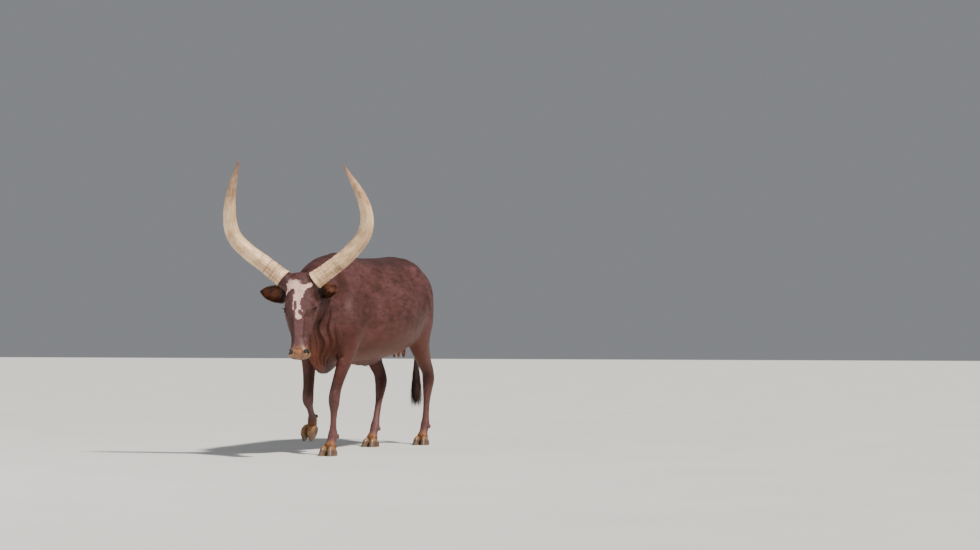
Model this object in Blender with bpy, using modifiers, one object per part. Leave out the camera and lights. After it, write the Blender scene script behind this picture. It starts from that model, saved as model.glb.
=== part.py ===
"""A life-size Ankole-Watusi cow, walking with its right forefoot lifted and its head turned a little to its left.

The animal faces -Y with its left side at +X, in metres, standing on z = 0. The body is a few lofts along
the spine, neck, head and legs, fused by a voxel remesh, smoothed, and shaped by strokes that raise or press
the skin. Then it is parted into named pieces, with a thin gap wherever two of them meet.
"""

import math

import bmesh
import bpy
import numpy as np
from mathutils import Matrix, Vector

# Sizes of the whole animal
GAP = 0.0003
RING = 28
STEPS = 4
BODY_VOXEL = 0.0095
HEAD_VOXEL = 0.0048
BODY_TRIANGLES = 4100
HEAD_TRIANGLES = 2400
SEED = 11

# Head: its place at the poll, how far the face leans from vertical, and how far it turns to its left
POLL = Vector((0.070, -1.072, 1.114))
FACE_LEAN = math.radians(15)
HEAD_TURN = math.radians(19)
HEAD_ROLL = math.radians(-2.5)
EYE_RADIUS = 0.0185
EYE_SPOT = (0.205, 0.0805, -0.056)
EYE_AIM = (0.10, 0.90, 0.40)
LID_THICKNESS = 0.0042
EYE_OPENING = (0.0185, 0.0105)
LID_TILT = math.radians(18)

# Horns: radius at the root, and the curve of each as (out, forward, up) from the poll
HORN_RADIUS = 0.0550
HORN_TAPER = (0.22, 0.72, 3.6)
HORN_FLARE = (0.09, 0.035)
HORN_RINGS = 9
HORN_LEFT = [
    (0.090, -0.052, -0.034), (0.132, -0.049, -0.004), (0.184, -0.045, 0.033), (0.290, -0.035, 0.116),
    (0.381, -0.012, 0.214), (0.415, 0.012, 0.293), (0.417, 0.038, 0.372), (0.397, 0.065, 0.450),
    (0.361, 0.095, 0.525), (0.325, 0.125, 0.592), (0.292, 0.155, 0.650),
]
HORN_RIGHT = [
    (0.103, -0.050, -0.024), (0.152, -0.048, 0.015), (0.214, -0.045, 0.064), (0.322, -0.034, 0.146),
    (0.396, -0.010, 0.230), (0.419, 0.020, 0.327), (0.412, 0.052, 0.420), (0.394, 0.085, 0.510),
    (0.366, 0.120, 0.600), (0.337, 0.155, 0.680),
]

# Root of each horn under the skin, as (distance along the horn, radius)
BOSS = ((-0.080, 0.050), (-0.050, 0.055), (-0.015, 0.0565), (0.010, 0.0560))

# Ears: root on the head as (down the face, out, forward), the way each points, and its size
EAR_ROOT = (0.098, 0.082, -0.120)
EAR_AIM_LEFT = (-0.50, 0.65, -0.57)
EAR_AIM_RIGHT = (-0.30, 0.95, -0.10)
EAR_LENGTH = 0.185
EAR_WIDTH = 0.108
EAR_WALL = 0.0042

# Trunk rows, rump to breast: y, top, bottom, half width, squareness, narrowing towards the back line
TRUNK = [
    (0.755, 1.170, 1.020, 0.045, 2.0, 0.0),
    (0.730, 1.212, 0.950, 0.110, 2.1, 0.0),
    (0.660, 1.256, 0.860, 0.176, 2.1, 0.02),
    (0.560, 1.284, 0.775, 0.224, 2.2, 0.04),
    (0.430, 1.295, 0.705, 0.250, 2.3, 0.08),
    (0.300, 1.284, 0.655, 0.272, 2.2, 0.14),
    (0.120, 1.268, 0.602, 0.296, 2.15, 0.20),
    (-0.080, 1.258, 0.585, 0.292, 2.15, 0.24),
    (-0.260, 1.260, 0.582, 0.264, 2.1, 0.25),
    (-0.420, 1.272, 0.578, 0.228, 2.0, 0.22),
    (-0.550, 1.262, 0.565, 0.205, 1.95, 0.14),
    (-0.660, 1.222, 0.560, 0.186, 1.95, 0.05),
    (-0.750, 1.140, 0.580, 0.152, 2.0, 0.0),
    (-0.812, 1.040, 0.650, 0.090, 2.0, 0.0),
]

# Neck rows, shoulder to poll: x, y, z, half width, above, below, squareness, narrowing towards the crest
NECK = [
    (0.000, -0.440, 1.020, 0.160, 0.235, 0.27, 2.0, 0.15),
    (0.004, -0.580, 1.010, 0.140, 0.225, 0.25, 2.0, 0.18),
    (0.016, -0.700, 1.008, 0.112, 0.200, 0.22, 2.0, 0.20),
    (0.036, -0.805, 1.006, 0.094, 0.172, 0.185, 2.0, 0.15),
    (0.060, -0.895, 1.004, 0.086, 0.142, 0.155, 2.0, 0.05),
    (0.080, -0.970, 1.004, 0.078, 0.102, 0.120, 2.0, 0.0),
]

# Dewlap rows, brisket to throat: x, y, z, half thickness, above, below
DEWLAP = [
    (0.000, -0.420, 0.640, 0.036, 0.08, 0.080),
    (0.000, -0.520, 0.640, 0.034, 0.09, 0.125),
    (0.002, -0.600, 0.645, 0.031, 0.11, 0.150),
    (0.010, -0.675, 0.670, 0.028, 0.12, 0.160),
    (0.024, -0.750, 0.735, 0.025, 0.12, 0.150),
    (0.042, -0.820, 0.815, 0.023, 0.11, 0.130),
    (0.060, -0.880, 0.880, 0.022, 0.09, 0.100),
    (0.074, -0.935, 0.920, 0.022, 0.06, 0.070),
]

# Fold of skin that hangs under the navel
NAVEL = [
    (0.000, -0.330, 0.610, 0.022, 0.04, 0.030),
    (0.000, -0.200, 0.600, 0.018, 0.05, 0.055),
    (0.000, -0.080, 0.590, 0.015, 0.05, 0.078),
    (0.000, 0.020, 0.590, 0.014, 0.05, 0.072),
    (0.000, 0.130, 0.605, 0.018, 0.05, 0.040),
    (0.000, 0.210, 0.630, 0.020, 0.04, 0.030),
]

# Leg rows, top to foot: x, y, z, half width, to the front, to the back
FORE_LEFT = [
    (0.140, -0.530, 1.000, 0.052, 0.10, 0.13),
    (0.160, -0.565, 0.870, 0.066, 0.115, 0.13),
    (0.160, -0.570, 0.740, 0.064, 0.098, 0.11),
    (0.150, -0.585, 0.640, 0.053, 0.072, 0.082),
    (0.129, -0.620, 0.530, 0.043, 0.050, 0.054),
    (0.112, -0.652, 0.430, 0.0375, 0.038, 0.039),
    (0.106, -0.664, 0.370, 0.0405, 0.042, 0.035),
    (0.103, -0.667, 0.320, 0.0375, 0.036, 0.034),
    (0.100, -0.666, 0.262, 0.0245, 0.027, 0.031),
    (0.097, -0.666, 0.180, 0.0235, 0.026, 0.030),
    (0.095, -0.669, 0.128, 0.0335, 0.032, 0.037),
    (0.094, -0.685, 0.088, 0.0320, 0.029, 0.033),
    (0.093, -0.699, 0.060, 0.0420, 0.036, 0.040),
    (0.093, -0.705, 0.040, 0.0380, 0.030, 0.034),
]
FORE_RIGHT = [
    (-0.138, -0.520, 1.000, 0.052, 0.10, 0.13),
    (-0.158, -0.550, 0.870, 0.066, 0.115, 0.13),
    (-0.158, -0.545, 0.740, 0.064, 0.098, 0.11),
    (-0.150, -0.538, 0.635, 0.053, 0.072, 0.082),
    (-0.142, -0.545, 0.530, 0.043, 0.050, 0.054),
    (-0.138, -0.556, 0.430, 0.0375, 0.038, 0.039),
    (-0.138, -0.561, 0.372, 0.0405, 0.041, 0.036),
    (-0.144, -0.548, 0.328, 0.0375, 0.039, 0.034),
    (-0.156, -0.506, 0.289, 0.0245, 0.027, 0.031),
    (-0.173, -0.452, 0.243, 0.0235, 0.026, 0.030),
    (-0.187, -0.414, 0.209, 0.0335, 0.032, 0.037),
    (-0.198, -0.394, 0.176, 0.0320, 0.029, 0.033),
    (-0.206, -0.386, 0.148, 0.0420, 0.036, 0.040),
    (-0.208, -0.383, 0.128, 0.0380, 0.030, 0.034),
]
HIND_LEFT = [
    (0.115, 0.460, 1.120, 0.068, 0.12, 0.15),
    (0.146, 0.465, 1.010, 0.090, 0.165, 0.185),
    (0.162, 0.455, 0.890, 0.090, 0.175, 0.175),
    (0.170, 0.440, 0.775, 0.078, 0.145, 0.145),
    (0.164, 0.480, 0.675, 0.062, 0.098, 0.102),
    (0.155, 0.560, 0.580, 0.049, 0.066, 0.074),
    (0.149, 0.630, 0.510, 0.041, 0.052, 0.065),
    (0.145, 0.655, 0.450, 0.0420, 0.052, 0.060),
    (0.141, 0.653, 0.385, 0.0360, 0.041, 0.041),
    (0.138, 0.643, 0.295, 0.0255, 0.030, 0.031),
    (0.136, 0.634, 0.195, 0.0255, 0.029, 0.031),
    (0.135, 0.624, 0.138, 0.0340, 0.032, 0.037),
    (0.134, 0.604, 0.094, 0.0315, 0.029, 0.032),
    (0.134, 0.587, 0.062, 0.0400, 0.036, 0.040),
    (0.134, 0.580, 0.040, 0.0360, 0.030, 0.034),
]
HIND_RIGHT = [
    (-0.115, 0.450, 1.120, 0.068, 0.12, 0.15),
    (-0.146, 0.440, 1.010, 0.090, 0.165, 0.185),
    (-0.162, 0.405, 0.890, 0.090, 0.175, 0.180),
    (-0.164, 0.360, 0.775, 0.078, 0.145, 0.155),
    (-0.142, 0.362, 0.675, 0.062, 0.098, 0.104),
    (-0.140, 0.395, 0.575, 0.049, 0.066, 0.074),
    (-0.124, 0.432, 0.500, 0.041, 0.052, 0.065),
    (-0.115, 0.440, 0.440, 0.0420, 0.052, 0.060),
    (-0.108, 0.416, 0.375, 0.0360, 0.041, 0.041),
    (-0.101, 0.378, 0.295, 0.0255, 0.030, 0.031),
    (-0.094, 0.330, 0.195, 0.0255, 0.029, 0.031),
    (-0.091, 0.302, 0.138, 0.0340, 0.032, 0.037),
    (-0.090, 0.276, 0.094, 0.0315, 0.029, 0.032),
    (-0.090, 0.257, 0.062, 0.0400, 0.036, 0.040),
    (-0.090, 0.249, 0.040, 0.0360, 0.030, 0.034),
]

# Hooves: the middle of each foot on the ground, its height there, its pitch with the toe down, and its way out
HOOF_LENGTH = 0.108
HOOF_WIDTH = 0.053
HOOF_TOE_HEIGHT = 0.066
HOOF_HEEL_HEIGHT = 0.036
HOOF_SPREAD = 0.0285
FEET = {
    "fore_left": (Vector((0.092, -0.731, 0.0)), 0.0, math.radians(3)),
    "fore_right": (Vector((-0.214, -0.392, 0.112)), math.radians(58), math.radians(-8)),
    "hind_left": (Vector((0.134, 0.556, 0.0)), 0.0, math.radians(5)),
    "hind_right": (Vector((-0.090, 0.225, 0.0)), 0.0, math.radians(-3)),
}

# Head rows, poll to lips: down the face, front, back, half width, squareness, narrowing towards the back
HEAD = [
    (-0.032, -0.055, -0.105, 0.034, 2.0, 0.0),
    (-0.018, -0.026, -0.135, 0.074, 2.2, 0.0),
    (0.012, -0.004, -0.155, 0.094, 2.4, 0.0),
    (0.060, 0.004, -0.178, 0.094, 2.7, 0.0),
    (0.110, 0.005, -0.196, 0.090, 2.8, 0.02),
    (0.160, 0.004, -0.207, 0.092, 2.7, 0.04),
    (0.205, 0.002, -0.210, 0.092, 2.6, 0.05),
    (0.250, 0.000, -0.203, 0.084, 2.5, 0.06),
    (0.300, 0.000, -0.178, 0.069, 2.4, 0.10),
    (0.350, 0.001, -0.148, 0.0575, 2.3, 0.06),
    (0.395, 0.003, -0.124, 0.0520, 2.2, 0.02),
    (0.435, 0.005, -0.110, 0.0530, 2.2, 0.0),
    (0.464, 0.005, -0.104, 0.0610, 2.3, 0.0),
    (0.484, 0.001, -0.101, 0.0670, 2.4, 0.0),
    (0.499, -0.008, -0.095, 0.0650, 2.5, 0.0),
    (0.511, -0.022, -0.084, 0.0530, 2.4, 0.0),
    (0.518, -0.040, -0.068, 0.0280, 2.2, 0.0),
]
PARTING = (Vector((0.072, -0.905, 1.01)), Vector((-0.28, 1.0, 0.10)).normalized())

# Tail and udder
TAIL = [
    (0.000, 0.640, 1.232, 0.034, 0.030, 0.030),
    (0.000, 0.720, 1.226, 0.032, 0.030, 0.028),
    (0.000, 0.782, 1.182, 0.028, 0.028, 0.026),
    (-0.002, 0.808, 1.090, 0.023, 0.023, 0.022),
    (-0.005, 0.812, 0.960, 0.018, 0.018, 0.018),
    (-0.009, 0.809, 0.820, 0.0165, 0.0165, 0.0165),
    (-0.012, 0.803, 0.680, 0.0150, 0.0150, 0.0150),
    (-0.014, 0.799, 0.600, 0.0135, 0.0135, 0.0135),
]
SWITCH_TOP = Vector((-0.014, 0.799, 0.600 - GAP))
SWITCH_LENGTH = 0.37
SWITCH_LOCKS = 23
UDDER = (Vector((0.012, 0.430, 0.745)), Vector((0.080, 0.120, 0.115)))
TEATS = [(0.052, 0.375), (-0.026, 0.370), (0.048, 0.465), (-0.024, 0.460)]
TEAT_RADIUS = 0.0140
TEAT_REACH = (0.690, 0.592)

COAT = (0.150, 0.065, 0.060)
PALE = (0.620, 0.500, 0.400)
HORN_TAN = (0.640, 0.540, 0.420)
DARK = (0.020, 0.012, 0.010)
SKIN = (0.300, 0.130, 0.100)
HOOF_BROWN = (0.230, 0.150, 0.090)


def clear_scene():
    for obj in list(bpy.data.objects):
        bpy.data.objects.remove(obj, do_unlink=True)


def new_collection(name):
    made = bpy.data.collections.new(name)
    bpy.context.scene.collection.children.link(made)
    return made


def material(name, colour, roughness):
    made = bpy.data.materials.new(name)
    made.use_nodes = True
    shader = made.node_tree.nodes["Principled BSDF"]
    shader.inputs["Base Color"].default_value = (*colour, 1.0)
    shader.inputs["Roughness"].default_value = roughness
    return made


def mesh_object(name, points, faces, collection):
    mesh = bpy.data.meshes.new(name)
    mesh.from_pydata([tuple(p) for p in points], [], [tuple(f) for f in faces])
    made = bpy.data.objects.new(name, mesh)
    collection.objects.link(made)
    return made


def evaluated_copy(obj, name, collection):
    """A new object that holds the mesh as its modifiers leave it. The first object goes."""
    graph = bpy.context.evaluated_depsgraph_get()
    graph.update()
    mesh = bpy.data.meshes.new_from_object(obj.evaluated_get(graph))
    bpy.data.objects.remove(obj, do_unlink=True)
    made = bpy.data.objects.new(name, mesh)
    collection.objects.link(made)
    return made


def smooth_rows(rows, steps=STEPS):
    """Rows on a smooth curve through the given rows."""
    rows = np.asarray(rows, float)
    ends = np.vstack([2 * rows[0] - rows[1], rows, 2 * rows[-1] - rows[-2]])
    found = []
    for a, b, c, d in zip(ends, ends[1:], ends[2:], ends[3:]):
        for u in np.arange(steps) / steps:
            bend = (2 * a - 5 * b + 4 * c - d) * u * u + (3 * b - 3 * c + d - a) * u**3
            found.append(0.5 * (2 * b + (c - a) * u + bend))
    found.append(rows[-1])
    return np.array(found)


def signed_power(value, power):
    return np.sign(value) * np.abs(value) ** power


def ring_shape(half_width, front, back, square, narrow, count=RING):
    """A closed section: sideways and forward distances of its points."""
    angle = np.arange(count) * 2 * math.pi / count
    side = signed_power(np.cos(angle), 2 / square)
    ahead = signed_power(np.sin(angle), 2 / square)
    return half_width * side * (1 - narrow * ahead), np.where(ahead > 0, front, back) * ahead


def skinned(rings):
    """Points and faces of a loft through rings, with a fan over each end."""
    count = len(rings[0])
    points = [p for ring in rings for p in ring]
    faces = []
    for i in range(len(rings) - 1):
        for j in range(count):
            k = (j + 1) % count
            faces.append((i * count + j, i * count + k, (i + 1) * count + k, (i + 1) * count + j))
    for first, order in ((0, -1), (len(rings) - 1, 1)):
        middle = len(points)
        points.append(np.mean(rings[first], axis=0))
        base = first * count
        for j in range(count):
            face = (base + j, base + (j + 1) % count, middle)
            faces.append(face[::order])
    return np.array(points), faces


def halved(faces, first=0):
    """The faces with each quad cut in two along the same diagonal."""
    made = []
    for face in faces:
        if len(face) == 3:
            made.append(face)
            continue
        a, b, c, d = face[first:] + face[:first]
        made += [(a, b, c), (a, c, d)]
    return made


def tube(rows, steps=STEPS, count=RING):
    """A loft along a path. Forward is path x side, so it is ahead of a leg and above a spine that runs ahead."""
    rows = [tuple(row) + (2.0, 0.0)[len(row) - 6:] if len(row) < 8 else row for row in rows]
    fine = smooth_rows(rows, steps)
    rings = []
    for i, row in enumerate(fine):
        along = Vector(fine[min(i + 1, len(fine) - 1)][:3]) - Vector(fine[max(i - 1, 0)][:3])
        along.normalize()
        side = Vector((1, 0, 0))
        side = (side - along * side.dot(along)).normalized()
        ahead = along.cross(side)
        across, forward = ring_shape(*row[3:], count)
        rings.append(row[:3] + np.outer(across, side) + np.outer(forward, ahead))
    return skinned(rings)


def upright_rows(rows):
    """Tube rows from a trunk's top and bottom lines."""
    made = []
    for y, top, bottom, half_width, square, narrow in rows:
        half = (top - bottom) / 2
        made.append((0, y, (top + bottom) / 2, half_width, half, half, square, narrow))
    return made


def head_frame():
    """Columns: down the face, out to the animal's left, and forward from the face."""
    down = Vector((0, -math.sin(FACE_LEAN), -math.cos(FACE_LEAN)))
    forward = Vector((0, -math.cos(FACE_LEAN), math.sin(FACE_LEAN)))
    axes = Matrix((down, Vector((1, 0, 0)), forward)).transposed()
    return Matrix.Rotation(HEAD_TURN, 3, "Z") @ Matrix.Rotation(HEAD_ROLL, 3, "Y") @ axes


def on_head(spots):
    """World places of (down, out, forward) places on the head."""
    return np.asarray(spots, float) @ np.array(head_frame()).T + np.array(POLL)


def head_loft():
    rings = []
    for t, front, back, half_width, square, narrow in smooth_rows(HEAD):
        half = (front - back) / 2
        across, forward = ring_shape(half_width, half, half, square, -narrow)
        local = np.stack([np.full(RING, t), across, forward + (front + back) / 2], axis=1)
        rings.append(on_head(local))
    return skinned(rings)


def fused(name, lofts, voxel, collection):
    """One closed skin round all the lofts."""
    points, faces = [], []
    for some, more in lofts:
        faces += [tuple(i + len(points) for i in face) for face in more]
        points += list(some)
    obj = mesh_object(name, points, faces, collection)
    remesh = obj.modifiers.new("skin", "REMESH")
    remesh.mode = "VOXEL"
    remesh.voxel_size = voxel
    return evaluated_copy(obj, name, collection)


def points_of(mesh):
    flat = np.empty(len(mesh.vertices) * 3)
    mesh.vertices.foreach_get("co", flat)
    return flat.reshape(-1, 3)


def normals_of(mesh):
    flat = np.empty(len(mesh.vertices) * 3, np.float32)
    mesh.vertex_normals.foreach_get("vector", flat)
    return flat.reshape(-1, 3).astype(float)


def set_points(mesh, points):
    mesh.vertices.foreach_set("co", points.ravel())
    mesh.update()


def relax(mesh, times, amount=0.5, weight=1.0):
    """Moves each point towards the mean of its neighbours."""
    ends = np.empty(len(mesh.edges) * 2, np.int64)
    mesh.edges.foreach_get("vertices", ends)
    a, b = ends.reshape(-1, 2).T
    total = len(mesh.vertices)
    share = np.bincount(a, minlength=total) + np.bincount(b, minlength=total)
    points = points_of(mesh)
    weight = np.broadcast_to(weight, total)[:, None]
    for _ in range(times):
        mean = np.stack([
            np.bincount(a, points[b, k], total) + np.bincount(b, points[a, k], total) for k in range(3)
        ], axis=1) / share[:, None]
        points = points + amount * weight * (mean - points)
    set_points(mesh, points)


def distance_to_path(points, path):
    nearest = np.full(len(points), np.inf)
    path = np.asarray(path, float)
    if len(path) == 1:
        return np.linalg.norm(points - path[0], axis=1)
    for a, b in zip(path, path[1:]):
        along = b - a
        share = np.clip((points - a) @ along / (along @ along), 0, 1)
        nearest = np.minimum(nearest, np.linalg.norm(points - a - share[:, None] * along, axis=1))
    return nearest


def press(mesh, strokes):
    """Moves the skin along its normals near each stroke: (path, radius, height), out where height is positive."""
    points = points_of(mesh)
    normals = normals_of(mesh)
    for path, radius, height in strokes:
        near = np.clip(1 - (distance_to_path(points, path) / radius) ** 2, 0, 1) ** 2
        points += normals * (near * height)[:, None]
    set_points(mesh, points)


def both_sides(strokes):
    """The strokes and their mirror images across x = 0, or across the middle of the face."""
    return strokes + [([(x, -y, z) for x, y, z in path], r, h) for path, r, h in strokes]


def both_flanks(strokes):
    return strokes + [([(-x, y, z) for x, y, z in path], r, h) for path, r, h in strokes]


def head_strokes():
    """Strokes on the head, as places (down, out, forward)."""
    paired = [
        ([(0.166, 0.088, -0.030), (0.186, 0.098, -0.038)], 0.030, 0.009),
        ([(0.232, 0.092, -0.050), (0.252, 0.086, -0.062)], 0.026, 0.006),
        ([(0.110, 0.088, -0.075), (0.150, 0.092, -0.092)], 0.034, -0.010),
        ([(0.255, 0.084, -0.085), (0.330, 0.064, -0.080)], 0.022, 0.006),
        ([(0.265, 0.050, -0.018), (0.390, 0.042, -0.022)], 0.028, -0.010),
        ([(0.300, 0.064, -0.115), (0.380, 0.052, -0.095)], 0.026, -0.006),
        ([(0.190, 0.078, -0.165), (0.250, 0.070, -0.160)], 0.050, 0.007),
        ([(0.245, 0.030, -0.004), (0.380, 0.022, 0.002)], 0.020, 0.003),
        ([(0.472, 0.058, -0.012), (0.490, 0.050, -0.014)], 0.024, 0.005),
        ([(0.479, 0.056, -0.030), (0.487, 0.046, -0.006)], 0.0125, -0.015),
        ([(0.504, 0.030, -0.036), (0.486, 0.066, -0.066), (0.448, 0.060, -0.078)], 0.012, 0.0025),
        ([(0.510, 0.030, -0.055), (0.495, 0.062, -0.078), (0.453, 0.058, -0.088)], 0.0085, -0.007),
        ([(0.503, 0.022, -0.075), (0.482, 0.052, -0.096), (0.448, 0.050, -0.100)], 0.013, 0.003),
    ]
    single = [
        ([(0.516, -0.032, -0.052), (0.518, 0.0, -0.050), (0.516, 0.032, -0.052)], 0.0085, -0.007),
        ([(-0.012, -0.02, -0.02), (-0.012, 0.02, -0.02)], 0.050, 0.005),
        ([(0.469, 0.0, 0.006), (0.495, 0.0, 0.000)], 0.012, -0.002),
        ([(0.120, 0.0, 0.004), (0.200, 0.0, 0.002)], 0.035, -0.003),
        ([(0.503, 0.0, -0.085)], 0.030, 0.005),
    ]
    return [(on_head(path), radius, height) for path, radius, height in both_sides(paired) + single]


def body_strokes():
    """Strokes on trunk, neck and legs: bones that show, hollows between muscles, and folds of skin."""
    paired = [
        ([(0.200, 0.355, 1.225), (0.225, 0.405, 1.212)], 0.070, 0.018),
        ([(0.110, 0.385, 1.282), (0.190, 0.385, 1.245)], 0.060, 0.007),
        ([(0.085, 0.700, 1.150), (0.095, 0.715, 1.120)], 0.065, 0.018),
        ([(0.235, 0.255, 1.120), (0.260, 0.280, 1.000)], 0.115, -0.017),
        ([(0.165, 0.560, 1.200), (0.200, 0.520, 1.090)], 0.095, -0.009),
        ([(0.215, 0.450, 0.960)], 0.110, 0.009),
        ([(0.120, -0.440, 1.215), (0.190, -0.550, 1.000), (0.188, -0.640, 0.880)], 0.080, 0.009),
        ([(0.200, -0.320, 1.130), (0.240, -0.370, 0.900), (0.222, -0.390, 0.760)], 0.110, -0.010),
        ([(0.150, -0.640, 1.100), (0.170, -0.690, 0.980)], 0.080, -0.008),
        ([(0.190, -0.520, 0.800), (0.200, -0.430, 0.740)], 0.060, 0.012),
        ([(0.225, 0.220, 0.760), (0.215, 0.300, 0.720)], 0.060, 0.010),
        ([(0.125, -0.760, 0.960), (0.130, -0.860, 0.960)], 0.040, -0.006),
        ([(0.115, -0.740, 1.060), (0.120, -0.850, 1.070)], 0.060, 0.005),
    ]
    single = [
        ([(0.0, -0.480, 1.270), (0.0, -0.380, 1.272)], 0.070, 0.012),
        ([(0.0, 0.560, 1.290), (0.0, 0.100, 1.270), (0.0, -0.300, 1.265)], 0.035, 0.006),
        ([(0.0, -0.780, 0.840), (0.01, -0.800, 0.700)], 0.040, 0.006),
    ]
    ribs = []
    for i in range(6):
        y = -0.230 + 0.085 * i
        ribs.append(([(0.250, y, 1.080), (0.318, y + 0.040, 0.900), (0.300, y + 0.050, 0.760)], 0.030, 0.0016))
    folds = []
    for i in range(4):
        low = 0.640 + 0.070 * i
        y = -0.800 - 0.040 * i
        folds.append(([(0.026, y + 0.080, low + 0.060), (0.026, y, low - 0.020)], 0.018, 0.006 * (-1) ** i))
    return both_flanks(paired + ribs + folds) + single


def horn_path(points, mirror, steps):
    turn = Matrix.Rotation(HEAD_TURN, 3, "Z")
    return smooth_rows([turn @ Vector((mirror * out, -ahead, up)) + POLL for out, ahead, up in points], steps)


def horn_bosses():
    """Skin over the bony root that carries each horn, from inside the head to just inside the horn."""
    lofts = []
    for points, mirror in ((HORN_LEFT, 1), (HORN_RIGHT, -1)):
        path = horn_path(points, mirror, 1)
        along = Vector(path[1] - path[0]).normalized()
        side = along.cross(Vector((0, 1, 0))).normalized()
        up = along.cross(side)
        angle = np.arange(20) * 2 * math.pi / 20
        rings = []
        for reach, radius in BOSS:
            centre = np.array(path[0] + along * reach)
            rings.append(centre + radius * (np.outer(np.cos(angle), side) + np.outer(np.sin(angle), up)))
        lofts.append(skinned(rings))
    return lofts


def horn_radius(share):
    """Radius at a share of the horn's length: a slow taper, a fast one near the tip, and a flare at the root."""
    even, last, power = HORN_TAPER
    flare, fade = HORN_FLARE
    return HORN_RADIUS * (1 - even * share - last * share**power + flare * math.exp(-share / fade))


def horn_mesh(points, mirror, count=13, steps=3):
    """A horn along its curve, ringed near the root, in the head's turned frame."""
    path = horn_path(points, mirror, steps)
    reach = np.concatenate([[0], np.cumsum(np.linalg.norm(np.diff(path, axis=0), axis=1))])
    share = reach / reach[-1]
    rings = []
    side = Vector((0, -1, 0))
    for i, place in enumerate(path):
        along = Vector(path[min(i + 1, len(path) - 1)] - path[max(i - 1, 0)]).normalized()
        side = (side - along * side.dot(along)).normalized()
        up = along.cross(side)
        s = share[i]
        radius = horn_radius(s)
        ripple = 0.0011 * math.sin(2 * math.pi * HORN_RINGS * s / 0.34) * max(0.0, 1 - s / 0.34)
        angle = np.arange(count) * 2 * math.pi / count
        shape = (radius + ripple) * (1 + 0.03 * np.cos(2 * angle))
        rings.append(place + np.outer(shape * np.cos(angle), side) + np.outer(shape * np.sin(angle), up))
    return skinned(rings)


def ear_mesh(mirror, aim, stations=11, angles=9):
    """A cupped leaf, rolled at the root and open to the front."""
    aim = Vector(aim).normalized()
    aim.y *= mirror
    axes = head_frame()
    along = axes @ aim
    front = axes @ Vector((0.10, 0.0, 1.0))
    open_to = (front - along * front.dot(along)).normalized()
    across = along.cross(open_to)
    root = Vector(on_head([(EAR_ROOT[0], mirror * EAR_ROOT[1], EAR_ROOT[2])])[0])
    rings = []
    for s in np.linspace(0, 1, stations):
        leaf = math.sin(math.pi * min(1.0, 0.17 + 0.83 * s) ** 1.02) ** 0.52
        half = max(0.004, EAR_WIDTH / 2 * leaf) if s > 0.15 else 0.0235 + 0.06 * s
        curl = math.radians(118 - 66 * s)
        radius = half / math.sin(min(curl, math.pi / 2))
        hollow = min(1.0, max(0.0, (s - 0.10) / 0.25))
        angle = np.linspace(-curl, curl, angles)
        outer = np.stack([radius * np.sin(angle), -radius * np.cos(angle)], axis=1)
        inner = outer * (1 - EAR_WALL / radius)
        chord = np.stack([inner[:, 0], np.full(angles, inner[0, 1])], axis=1)
        inner = chord * (1 - hollow) + inner * hollow
        section = np.concatenate([outer, inner[::-1]])
        section[:, 1] += radius * math.cos(curl) * 0.35
        droop = 0.008 * s * s
        centre = root + along * (EAR_LENGTH * s) - Vector((0, 0, droop))
        rings.append(np.array(centre) + np.outer(section[:, 0], across) + np.outer(section[:, 1], open_to))
    return skinned(rings)


def claw_mesh(place, pitch, turn, side, count=16, steps=1):
    """One claw of a cloven hoof: a flat sole, a sloping toe wall and a lower heel."""
    outline = []
    for angle in np.arange(count) * 2 * math.pi / count:
        ahead = math.cos(angle)
        across = signed_power(math.sin(angle), 0.8)
        width = HOOF_WIDTH / 2 * (1 - 0.22 * max(ahead, 0.0) ** 2)
        outline.append((width * across, HOOF_LENGTH / 2 * signed_power(ahead, 0.85)))
    outline = np.array(outline)
    levels = ((0.0, 1.0, 0.0), (0.25, 0.975, 0.010), (0.6, 0.90, 0.022), (1.0, 0.80, 0.034))
    rings = []
    toe = (outline[:, 1] / HOOF_LENGTH + 0.5)[:, None]
    top = HOOF_HEEL_HEIGHT + (HOOF_TOE_HEIGHT - HOOF_HEEL_HEIGHT) * toe
    for level, size, back in smooth_rows(levels, steps):
        flat = outline * size - np.array([0.0, back * 0.55])
        flat[:, 0] -= side * 0.004 * level
        rings.append(np.concatenate([flat, level * top], axis=1))
    points, faces = skinned(rings)
    points[:, 1] *= -1
    points[:, 0] += side * HOOF_SPREAD
    faces = [face[::-1] for face in faces]
    turned = Matrix.Rotation(turn, 3, "Z") @ Matrix.Rotation(pitch, 3, "X")
    return points @ np.array(turned).T + np.array(place), faces


def bell_cutter(centre, levels, collection, count=22):
    """A thin bell over the top of a leg: levels are (height, half width, half depth) from the rim up."""
    angle = np.arange(count) * 2 * math.pi / count
    shells = []
    for inset in (GAP, 0.0):
        rings = []
        for z, half_width, half_depth in levels:
            height = z - inset * (z == levels[-1][0])
            rings.append(np.stack([
                centre[0] + (half_width - inset) * np.cos(angle),
                centre[1] + (half_depth - inset) * np.sin(angle),
                np.full(count, height),
            ], axis=1))
        shells.append(rings)
    points, faces = skinned(shells[0][::-1] + shells[1])
    walls = len(levels) * count
    return closed_object("bell", points, halved(faces[:walls]) + halved(faces[walls:], 1), collection)


def closed_object(name, points, faces, collection):
    """A mesh object with all its faces turned out."""
    obj = mesh_object(name, points, faces, collection)
    work = bmesh.new()
    work.from_mesh(obj.data)
    bmesh.ops.recalc_face_normals(work, faces=work.faces)
    if work.calc_volume(signed=True) < 0:
        bmesh.ops.reverse_faces(work, faces=work.faces)
    work.to_mesh(obj.data)
    work.free()
    return obj


def slab_cutter(centre, normal, half_size, collection):
    """A square plate as thin as the gap."""
    work = bmesh.new()
    bmesh.ops.create_cube(work, size=1.0)
    bmesh.ops.scale(work, vec=(2 * half_size[0], 2 * half_size[1], GAP), verts=work.verts)
    turned = Vector(normal).to_track_quat("Z", "Y").to_matrix().to_4x4()
    bmesh.ops.transform(work, matrix=Matrix.Translation(centre) @ turned, verts=work.verts)
    return object_of(work, "slab", collection)


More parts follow.
